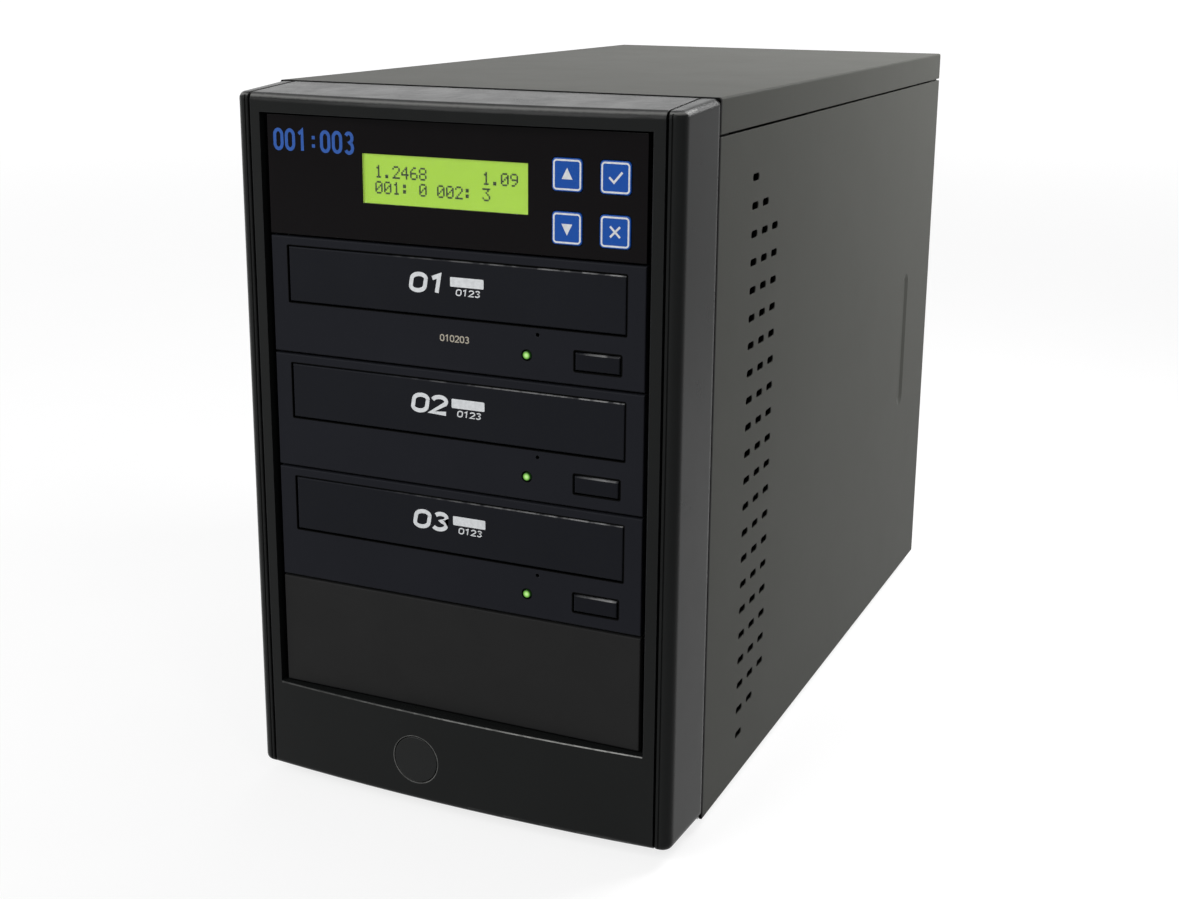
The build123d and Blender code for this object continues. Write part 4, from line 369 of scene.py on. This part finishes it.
def clear(name, tint, rough):
    """A clear pane with faint waviness and fine scratches."""
    t = Tree(name)
    scratch = t.ranged(t.noise(2200, 2, 0.6, t.scaled((1, 1, 14))), 0.62, 0.75, 0.0, 0.08)
    gloss = t.math("ADD", scratch, rough)
    normal = t.bump(t.noise(70), 0.02, 0.1 * MM)
    glass = t.add("ShaderNodeBsdfPrincipled", {"Base Color": rgb(tint), "Roughness": gloss, "Normal": normal,
                                               "Transmission Weight": 1.0, "IOR": 1.15})
    see = t.add("ShaderNodeBsdfTransparent", {"Color": rgb(tint)})
    path = t.add("ShaderNodeLightPath").outputs["Is Shadow Ray"]
    both = t.add("ShaderNodeMixShader", {0: path, 1: glass.outputs[0], 2: see.outputs[0]})
    t.tree.links.new(both.outputs[0], t.out.inputs[0])
    return t.material


def printed(name, colour, rough=0.5):
    """Screen-printed ink: slightly uneven cover and a dry, fine-grained face."""
    t = Tree(name)
    cover = t.ranged(t.noise(700, 4), 0.35, 0.65, 0.0, 1.0)
    tone = t.mix(cover, rgb(colour, 0.86), rgb(colour))
    normal = t.bump(t.noise(3000, 2), 0.2, 0.01 * MM)
    gloss = t.ranged(t.noise(400), 0.3, 0.7, rough - 0.06, rough + 0.06)
    t.principled({"Base Color": tone, "Roughness": gloss, "Specular IOR Level": 0.3, "Normal": normal})
    return t.material


def display_frame(name):
    """The display's pressed frame, bright metal, on its green board."""
    t = Tree(name)
    behind = t.above(1, DISPLAY_BACK)
    grain = t.noise(900, 3)
    metal = t.mix(grain, rgb((0.30, 0.30, 0.31)), rgb((0.42, 0.42, 0.43)))
    green = t.mix(grain, rgb((0.006, 0.055, 0.022)), rgb((0.014, 0.095, 0.038)))
    gloss = t.ranged(t.noise(120), 0.3, 0.7, 0.30, 0.42)
    normal = t.bump(grain, 0.15, 0.02 * MM, t.rounded(0.15 * MM))
    t.principled({"Base Color": t.mix(behind, metal, green), "Roughness": gloss,
                  "Metallic": t.math("SUBTRACT", 0.9, behind, clamp=True), "Normal": normal})
    return t.material


CASE_PAINT = (0.082, 0.083, 0.075)
CASE = powder_coat("case_powder_coat", CASE_PAINT, 0.45, 1.095, case_seam_shade)
COVER = powder_coat("cover_powder_coat", CASE_PAINT, 0.45, 1.095, cover_vent_shade)
# The front plate and the drive cage are near black: partly their own black paint and partly painted shade,
# which keeps the seams and the vents dark.
INNER_PAINT_AND_SHADE = powder_coat("inner_black_paint_and_shade", (0.006, 0.006, 0.006), 0.6, 1.1)
ZINC = plated("zinc_sheet", (0.50, 0.51, 0.51), 0.36, (1, 12, 1), 0.35)
BEZEL = moulding("bezel_moulding", (0.0108, 0.0116, 0.0114), 0.22, 0.08, 2400, 0.10,
                 edge=0.45 * MM, marks=bezel_highlights_and_seam_shade)
PILLAR = moulding("pillar_moulding", (0.0100, 0.0108, 0.0106), 0.22, 0.075, 2400, 0.10, wear_and_glint_gain=0.08,
                  edge=2.0 * MM, marks=bezel_highlights_and_seam_shade)
# The drive fronts, doors, power button and eject buttons have high edge gains: their pale edges are painted
# highlights as well as wear.
FRONT = moulding("drive_front_moulding", (0.0158, 0.0166, 0.0208), 0.40, 0.03, 3400, 0.35, wear_and_glint_gain=2.6,
                 marks=front_gap_shade)
DOOR = moulding("tray_door_moulding", (0.0128, 0.0136, 0.0170), 0.36, 0.035, 3400, 0.35, wear_and_glint_gain=2.4,
                marks=door_highlight)
BLANK = moulding("blank_panel_moulding", (0.0140, 0.0140, 0.0140), 0.62, 0.10, 2200, 0.5, wear_and_glint_gain=0.8)
PANEL = moulding("control_panel_face", (0.0032, 0.0023, 0.0028), 0.16, 0.06, 900, 0.04, wear_and_glint_gain=0.8)
KEY = moulding("key_cap_blue", (0.009, 0.086, 0.42), 0.26, 0.16, 1800, 0.08, wear_and_glint=(0.06, 0.20, 0.60))
BUTTON = moulding("button_moulding", (0.0115, 0.0124, 0.0122), 0.28, 0.13, 2600, 0.15, wear_and_glint_gain=4.0,
                  wear_and_glint=(0.16, 0.16, 0.16))
EJECT = moulding("eject_button_moulding", (0.0115, 0.0122, 0.0155), 0.30, 0.03, 3400, 0.2, wear_and_glint_gain=3.0,
                 wear_and_glint=(0.13, 0.135, 0.14), marks=eject_highlight)
TRAY = moulding("tray_moulding", (0.018, 0.018, 0.020), 0.45, 0.4, 2000, 0.4, wear_and_glint=(0.12, 0.12, 0.125))
FRAME = moulding("frame_moulding", (0.040, 0.040, 0.043), 0.5, 0.4, 1800, 0.4, wear_and_glint=(0.14, 0.14, 0.145))
FAN = moulding("fan_moulding", (0.012, 0.012, 0.012), 0.38, 0.4, 1600, 0.3)
SWITCH = moulding("switch_moulding", (0.009, 0.009, 0.009), 0.33, 0.45, 2000, 0.25)
ROCKER = moulding("rocker_moulding", (0.009, 0.009, 0.009), 0.30, 0.45, 2000, 0.2, marks=rocker_marks)
RUBBER = moulding("foot_rubber", (0.013, 0.013, 0.013), 0.8, 0.2, 1200, 0.8, wear_and_glint=(0.05, 0.05, 0.05))
SCREW = plated("nickel_screw", (0.40, 0.40, 0.39), 0.34, line=900)
ROD = plated("ground_rod", (0.72, 0.72, 0.72), 0.16, (1, 20, 1), line=700)
SLED = plated("cast_sled", (0.46, 0.46, 0.48), 0.48, line=1400)
LEAD = moulding("lead_sleeve", (0.012, 0.012, 0.012), 0.55, 0.35, 900, 0.7, marks=power_marks)
DATA = moulding("data_lead_red", (0.26, 0.012, 0.010), 0.42, 0.4, 900, 0.3, wear_and_glint=(0.4, 0.06, 0.05),
                marks=data_marks)
WINDOW = clear("window_acrylic", (0.97, 0.99, 0.96), 0.05)
LIT = glow("display_glow", (0.288, 0.440, 0.050), (0.21, 0.36, 0.03), 0.90)
DOTS = printed("display_dots", (0.012, 0.026, 0.005), 0.4)
WHITE = printed("white_print", (0.86, 0.88, 0.90))
BLUE = printed("blue_print", (0.018, 0.10, 0.42))
BEIGE = printed("beige_print", (0.52, 0.47, 0.38))
PIPE = lit_pipe("light_pipe_glow")
DISPLAY_FRAME = display_frame("display_frame_and_board")


def dress(material, *names):
    for name in names:
        for held in nodes[name].material_slots:
            held.material = material


dress(CASE, "top_cover", "rear_panel")
dress(COVER, "side_cover_right", "side_cover_left")
dress(INNER_PAINT_AND_SHADE, "front_plate", "drive_cage")
dress(ZINC, "base_pan", "control_tray", "psu_case")
dress(BEZEL, "bezel")
dress(PILLAR, "bezel_pillars")
dress(BLANK, "blank_panel")
dress(PANEL, "control_front")
dress(KEY, "key_up", "key_enter", "key_down", "key_escape")
dress(BUTTON, "power_button")
dress(FRAME, "drive_frames")
dress(FAN, "fan_frames", "case_fan_rotor", "psu_fan_rotor")
dress(SWITCH, "power_inlet", "power_switch")
dress(ROCKER, "rocker_switch")
dress(RUBBER, "feet")
dress(SCREW, "chassis_screws", "thumbscrews_right", "thumbscrews_left")
dress(ROD, "guide_rods")
dress(LEAD, "power_harness")
dress(DATA, "signal_cables")
dress(WINDOW, "lcd_window")
dress(PIPE, "light_pipes")
dress(DISPLAY_FRAME, "lcd_module")
for drive in (1, 2, 3):
    for material, name in ((ZINC, "drive_case"), (FRONT, "drive_front"), (DOOR, "tray_door"),
                           (EJECT, "eject_button"), (TRAY, "tray"), (FRAME, "turntable"),
                           (SLED, "laser_sled")):
        dress(material, f"{name}_{drive}")


def standing_off(low, high):
    """A mask of what stands off a level board, between two heights of its own."""
    return lambda t: t.math("SUBTRACT", 1.0, t.inside(2, low, high))


def drive_board_parts(t):
    height = t.bay_height()
    level = t.math("LESS_THAN", height, 5.7 * MM)
    level = t.math("MULTIPLY", t.math("GREATER_THAN", height, 3.9 * MM), level)
    return t.math("SUBTRACT", 1.0, level)


def controller_sink(t):
    span = t.math("MULTIPLY", t.inside(0, *SINK_SPAN[0]), t.inside(1, *SINK_SPAN[1]))
    return t.math("MULTIPLY", span, t.above(2, CONTROLLER_BOARD[1]))


def supply_metal(t):
    sinks = t.math("MAXIMUM", t.inside(0, *SUPPLY_SINKS[0]), t.inside(0, *SUPPLY_SINKS[1]))
    return t.math("MULTIPLY", sinks, t.above(2, SUPPLY_BOARD[1]))


dress(board("controller_lacquer", standing_off(*CONTROLLER_BOARD), controller_sink), "copy_controller")
dress(board("supply_lacquer", standing_off(*SUPPLY_BOARD), supply_metal), "psu_board")
dress(board("drive_board_lacquer", drive_board_parts), "drive_boards")
dress(board("key_board_lacquer", lambda t: t.math("LESS_THAN", t.axis(1), KEY_BOARD_FACE)), "key_board")


# ---- Camera, lamps and floor ------------------------------------------------------------
FRAME_WIDTH, FRAME_CENTRE = 1179, (589.5, 449.5)      # the photograph, in pixels
FOCAL, OPTICAL_CENTRE = 1668.9, (583.4, 389.5)        # of the fitted camera, in the same pixels
EYE = (0.27895, -0.68539, 0.31537)


def camera():
    yaw, pitch, roll = math.radians(24.245), math.radians(14.334), math.radians(0.436)
    forward = Vector((-math.sin(yaw) * math.cos(pitch), math.cos(yaw) * math.cos(pitch), -math.sin(pitch)))
    side = Vector((math.cos(yaw), math.sin(yaw), 0))
    up = side.cross(forward)
    right = side * math.cos(roll) + up * math.sin(roll)
    top = up * math.cos(roll) - side * math.sin(roll)
    data = bpy.data.cameras.new("camera")
    data.sensor_width = 36
    data.lens = FOCAL / FRAME_WIDTH * data.sensor_width
    data.shift_x = (FRAME_CENTRE[0] - OPTICAL_CENTRE[0]) / FRAME_WIDTH
    data.shift_y = (OPTICAL_CENTRE[1] - FRAME_CENTRE[1]) / FRAME_WIDTH
    data.clip_start = 0.01
    seen = bpy.data.objects.new("camera", data)
    turn = Matrix((right, top, -forward)).transposed().to_4x4()
    seen.matrix_world = Matrix.Translation(EYE) @ turn
    scene.collection.objects.link(seen)
    scene.camera = seen


def lamp(name, place, aim, size, power):
    data = bpy.data.lights.new(name, "AREA")
    data.size = size
    data.energy = power
    held = bpy.data.objects.new(name, data)
    held.location = place
    held.rotation_euler = (Vector(aim) - Vector(place)).to_track_quat("-Z", "Y").to_euler()
    held.visible_camera = False
    scene.collection.objects.link(held)


def studio():
    """A white room, dim as a source of light, with five soft lamps."""
    world = bpy.data.worlds.new("studio")
    scene.world = world
    world.use_nodes = True
    tree = world.node_tree
    tree.nodes.clear()
    new, join = tree.nodes.new, tree.links.new

    def backdrop(colour, strength):
        shader = new("ShaderNodeBackground")
        shader.inputs[0].default_value = colour
        shader.inputs[1].default_value = strength
        return shader.outputs[0]

    def larger(one, other):
        node = new("ShaderNodeMath")
        node.operation = "MAXIMUM"
        join(one, node.inputs[0])
        join(other, node.inputs[1])
        return node.outputs[0]

    path = new("ShaderNodeLightPath").outputs
    seen = larger(larger(path["Is Camera Ray"], path["Is Glossy Ray"]), path["Is Transmission Ray"])
    both = new("ShaderNodeMixShader")
    join(seen, both.inputs[0])
    join(backdrop((0.97, 0.98, 1.0, 1), 0.15), both.inputs[1])
    join(backdrop((1, 1, 1, 1), 1.0), both.inputs[2])
    join(both.outputs[0], new("ShaderNodeOutputWorld").inputs[0])
    lamp("lamp_over", (0.10, 0.35, 1.45), (0, 0.05, 0.15), 1.0, 4.2)
    lamp("lamp_side", (0.34, 0.30, 0.54), (0.088, 0.12, 0.25), 0.28, 3.0)
    lamp("lamp_front", (-0.7, -1.7, 1.1), (0, -0.1, 0.15), 1.1, 23)
    lamp("lamp_strip", (1.15, -1.05, 1.2), (0.08, -0.18, 0.15), 0.25, 1.6)
    lamp("lamp_left", (-1.25, -0.95, 0.75), (-0.08, -0.18, 0.15), 0.35, 3.0)


def floor():
    """Pale paper, a little brighter away from the object, as the photograph's ground is."""
    mesh = bpy.data.meshes.new("floor")
    work = bmesh.new()
    bmesh.ops.create_circle(work, cap_ends=True, segments=96, radius=40)
    work.to_mesh(mesh)
    work.free()
    ground = bpy.data.objects.new("floor", mesh)
    scene.collection.objects.link(ground)
    t = Tree("floor_paper")
    tone = t.mix(t.noise(14), rgb((0.29, 0.29, 0.29)), rgb((0.31, 0.31, 0.31)))
    path = t.add("ShaderNodeLightPath").outputs
    seen = t.math("MAXIMUM", path["Is Camera Ray"], path["Is Glossy Ray"])
    seen = t.math("MAXIMUM", seen, path["Is Transmission Ray"])
    away = t.add("ShaderNodeVectorMath", {0: t.place}, operation="LENGTH").outputs["Value"]
    paper = t.ranged(away, 0.5, 3.0, 0.77, 0.97)
    t.principled({"Base Color": tone, "Roughness": 0.9, "Specular IOR Level": 0.1,
                  "Emission Color": (1, 1, 1, 1), "Emission Strength": t.math("MULTIPLY", seen, paper)})
    mesh.materials.append(t.material)


# ---- Added pieces -----------------------------------------------------------------------
BAY_Z = {0: 219.1, 1: 175.1, 2: 131.1, 3: 87.1, 4: 43.1}
FACE_Y = -180.5


def row(x, y, z, bay=None):
    """A place given in millimetres, and in a bay's own measures if one is named."""
    if bay is None:
        return Vector((x, y, z)) * MM
    return Vector((x, y + FACE_Y, z + BAY_Z[bay])) * MM


def piece(name, mesh, material, body):
    made = bpy.data.objects.new(name, mesh)
    scene.collection.objects.link(made)
    mesh.materials.append(material)
    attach(made, body)
    return made


def plates(name, outlines, y, thick, material, body, slot):
    """Flat shapes facing the front, each an outline of (x, z) points, y at their face, in metres."""
    mesh = bpy.data.meshes.new(name)
    work = bmesh.new()
    for outline in outlines:
        front = [work.verts.new((x, y, z)) for x, z in outline]
        back = [work.verts.new((x, y + thick, z)) for x, z in outline]
        work.faces.new(front)
        work.faces.new(back[::-1])
        for i in range(len(front)):
            j = (i + 1) % len(front)
            work.faces.new((front[i], back[i], back[j], front[j]))
    bmesh.ops.recalc_face_normals(work, faces=work.faces)
    work.to_mesh(mesh)
    work.free()
    return piece(name, mesh, material, body)


def rounded_outline(x, z, half_x, half_z, radius, steps=6):
    points = []
    for corner, (sx, sz) in enumerate(((1, 1), (-1, 1), (-1, -1), (1, -1))):
        for step in range(steps + 1):
            turn = math.radians(90 * corner + 90 * step / steps)
            points.append((x + sx * (half_x - radius) + radius * math.cos(turn),
                           z + sz * (half_z - radius) + radius * math.sin(turn)))
    return points


def ring(name, x, z, half_x, half_z, radius, width, y, thick, material, body, slot):
    """A band between two rounded outlines."""
    outer = rounded_outline(x, z, half_x, half_z, radius)
    inner = rounded_outline(x, z, half_x - width, half_z - width, max(radius - width, 0.1 * MM))
    count = len(outer)
    outlines = [(outer[i], outer[(i + 1) % count], inner[(i + 1) % count], inner[i]) for i in range(count)]
    made = plates(name, outlines, y, thick, material, body, slot)
    weld = made.modifiers.new("weld", "WELD")
    weld.merge_threshold = 0.01 * MM
    return made


DIGITS = {
    "0": "01110 10001 10011 10101 11001 10001 01110", "1": "00100 01100 00100 00100 00100 00100 01110",
    "2": "01110 10001 00001 00010 00100 01000 11111", "3": "11111 00010 00100 00010 00001 10001 01110",
    "4": "00010 00110 01010 10010 11111 00010 00010", "6": "00110 01000 10000 11110 10001 10001 01110",
    "8": "01110 10001 10001 01110 10001 10001 01110", "9": "01110 10001 10001 01111 00001 00010 01100",
    ".": "00000 00000 00000 00000 00000 01100 01100", ":": "00000 01100 01100 00000 01100 01100 00000",
    " ": "00000 00000 00000 00000 00000 00000 00000",
}
DOT_X, DOT_Z = 0.60, 0.64
CHARACTER_STEP, LINE_STEP = 3.55, 5.6


def dot_lines(lines, left, top, bay, y):
    outlines = []
    for number, line in enumerate(lines):
        for place, character in enumerate(line):
            for line_row, bits in enumerate(DIGITS[character].split()):
                for column, bit in enumerate(bits):
                    if bit == "0":
                        continue
                    x = left + place * CHARACTER_STEP + column * DOT_X
                    z = top - number * LINE_STEP - line_row * DOT_Z
                    low = row(x - 0.04, y, z - DOT_Z, bay)
                    high = row(x + DOT_X, y, z, bay)
                    outlines.append(((low[0], low[2]), (high[0], low[2]),
                                     (high[0], high[2]), (low[0], high[2])))
    face = row(0, y, 0, bay)[1]
    return plates("display_digits", outlines, face, 0.03 * MM, DOTS, "case", "display")


LCD_LEFT, LCD_RIGHT, LCD_LOW, LCD_HIGH = -34.6, 30.5, 13.4, 30.9


def display():
    """The lit glass stands on its frame close behind a thin pane."""
    low, high = row(LCD_LEFT + 0.05, 0, LCD_LOW + 0.05, 0), row(LCD_RIGHT - 0.05, 0, LCD_HIGH - 0.05, 0)
    pane = [((low[0], low[2]), (high[0], low[2]), (high[0], high[2]), (low[0], high[2]))]
    made = plates("display_pane", pane, row(0, 0.25, 0, 0)[1], 0.6 * MM, WINDOW, "case", "clear_window")
    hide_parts("lcd_window")
    plates("display_glass", pane, row(0, 1.0, 0, 0)[1], 4.0 * MM, LIT, "case", "display")
    dot_lines(("1.2468      1.09", "001: 0 002: 3   "), LCD_LEFT + 4.7, LCD_HIGH - 3.9, 0, 0.95)


KEYS = {"key_up": (45.2, 27.9), "key_enter": (62.8, 27.9), "key_down": (45.2, 9.9), "key_escape": (62.8, 9.9)}
KEY_HALF = 5.6


def cross(arm, half):
    """The outline of a diagonal cross, in millimetres."""
    corners = [(half, half), (arm, half), (arm, -half)]
    points = [turned for quarter in range(4) for turned in [
        (x * math.cos(-quarter * math.pi / 2) - z * math.sin(-quarter * math.pi / 2),
         x * math.sin(-quarter * math.pi / 2) + z * math.cos(-quarter * math.pi / 2)) for x, z in corners]]
    slant = math.sqrt(0.5)
    return [((x - z) * slant, (x + z) * slant) for x, z in points]


def key_marks():
    face = row(0, -0.43, 0, 0)[1]
    signs = {
        "key_up": [[(-2.0, -1.5), (2.0, -1.5), (0, 2.4)]],
        "key_down": [[(-2.0, 1.5), (0, -2.4), (2.0, 1.5)]],
        "key_enter": [ribbon([(-2.3, 0.1), (-0.6, -1.6), (2.4, 1.9)], 0.75)],
        "key_escape": [cross(2.55, 0.37)],
    }
    for name, (x, z) in KEYS.items():
        at = row(x, 0, z, 0)
        ring(name + "_outline", at[0], at[2], (KEY_HALF - 0.45) * MM, (KEY_HALF - 0.45) * MM, 1.3 * MM,
             0.6 * MM, face, 0.05 * MM, WHITE, name, "key_blue")
        shapes = [[(at[0] + px * MM, at[2] + pz * MM) for px, pz in shape] for shape in signs[name]]
        plates(name + "_sign", shapes, face, 0.05 * MM, WHITE, name, "key_blue")


def arc(x, z, radius, start, end, steps=14):
    """Points round part of a circle, in the order of the two angles given in degrees."""
    turns = [math.radians(start + (end - start) * step / steps) for step in range(steps + 1)]
    return [(x + radius * math.cos(turn), z + radius * math.sin(turn)) for turn in turns]


DIGIT_WIDE = 0.56
STROKES = {
    "0": [arc(0.28, 0.70, 0.26, 0, 180) + arc(0.28, 0.30, 0.26, 180, 360) + [(0.54, 0.70)]],
    "1": [[(0.08, 0.80), (0.32, 0.97), (0.32, 0.0)]],
    "2": [arc(0.28, 0.70, 0.26, 165, -30) + [(0.04, 0.03), (0.60, 0.03)]],
    "3": [arc(0.27, 0.735, 0.225, 150, -75) + arc(0.27, 0.27, 0.25, 75, -150)],
    ":": [[(0.28, 0.18), (0.28, 0.34)], [(0.28, 0.58), (0.28, 0.74)]],
}


def ribbon(points, width):
    """The outline of a bent line of one width, its corners mitred."""
    left, right = [], []
    for i, point in enumerate(points):
        before = Vector(points[max(i - 1, 0)])
        after = Vector(points[min(i + 1, len(points) - 1)])
        first = (Vector(point) - before).normalized() if i else (after - Vector(point)).normalized()
        last = (after - Vector(point)).normalized() if i < len(points) - 1 else first
        along = (first + last).normalized()
        side = Vector((-along[1], along[0]))
        reach = width / 2 / max(side.dot(Vector((-first[1], first[0]))), 0.5)
        left.append(Vector(point) + side * reach)
        right.append(Vector(point) - side * reach)
    return left + right[::-1]


def number(name, text, x, z, height, y, bay, material, body, slot, lean=0.0, wide=1.0, weight=0.17):
    """A plain printed number, drawn with strokes of one width, facing the front."""
    outlines = []
    step = DIGIT_WIDE * wide + 0.22
    start = x - height * (step * len(text) - 0.22) / 2
    for place, digit in enumerate(text):
        for line in STROKES[digit]:
            bent = [(px * wide + pz * lean, pz) for px, pz in line]
            outline = []
            for px, pz in ribbon(bent, weight):
                spot = row(start + (px + place * step) * height, y, z + (pz - 0.5) * height, bay)
                outline.append((spot[0], spot[2]))
            outlines.append(outline)
    return plates(name, outlines, row(0, y, 0, bay)[1], 0.05 * MM, material, body, slot)


def numbers():
    for drive in (1, 2, 3):
        face, held = 0.17, (WHITE, f"tray_{drive}", "door_plastic")
        number(f"door_number_{drive}", f"0{drive}", -9.6, 30.7, 6.4, face, drive, *held,
               lean=0.18, wide=1.7, weight=0.24)
        middle = row(6.6, face, 31.9, drive)
        bar = rounded_outline(middle[0], middle[2], 6.6 * MM, 1.7 * MM, 0.4 * MM)
        plates(f"door_bar_{drive}", [bar], middle[1], 0.05 * MM, *held)
        number(f"door_count_{drive}", "0123", 6.9, 28.3, 2.2, face, drive, *held,
               lean=0.15, wide=1.6, weight=0.2)
    number("front_number", "010203", 1.6, 11.6, 2.3, -0.03, 1, BEIGE, "case", "front_plastic",
           wide=1.15, weight=0.18)
    number("panel_number", "001:003", -54.6, 34.2, 7.4, -0.03, 0, BLUE, "case", "panel_black",
           wide=0.80, weight=0.17)


camera()
studio()
floor()
display()
key_marks()
numbers()

bpy.context.view_layer.update()
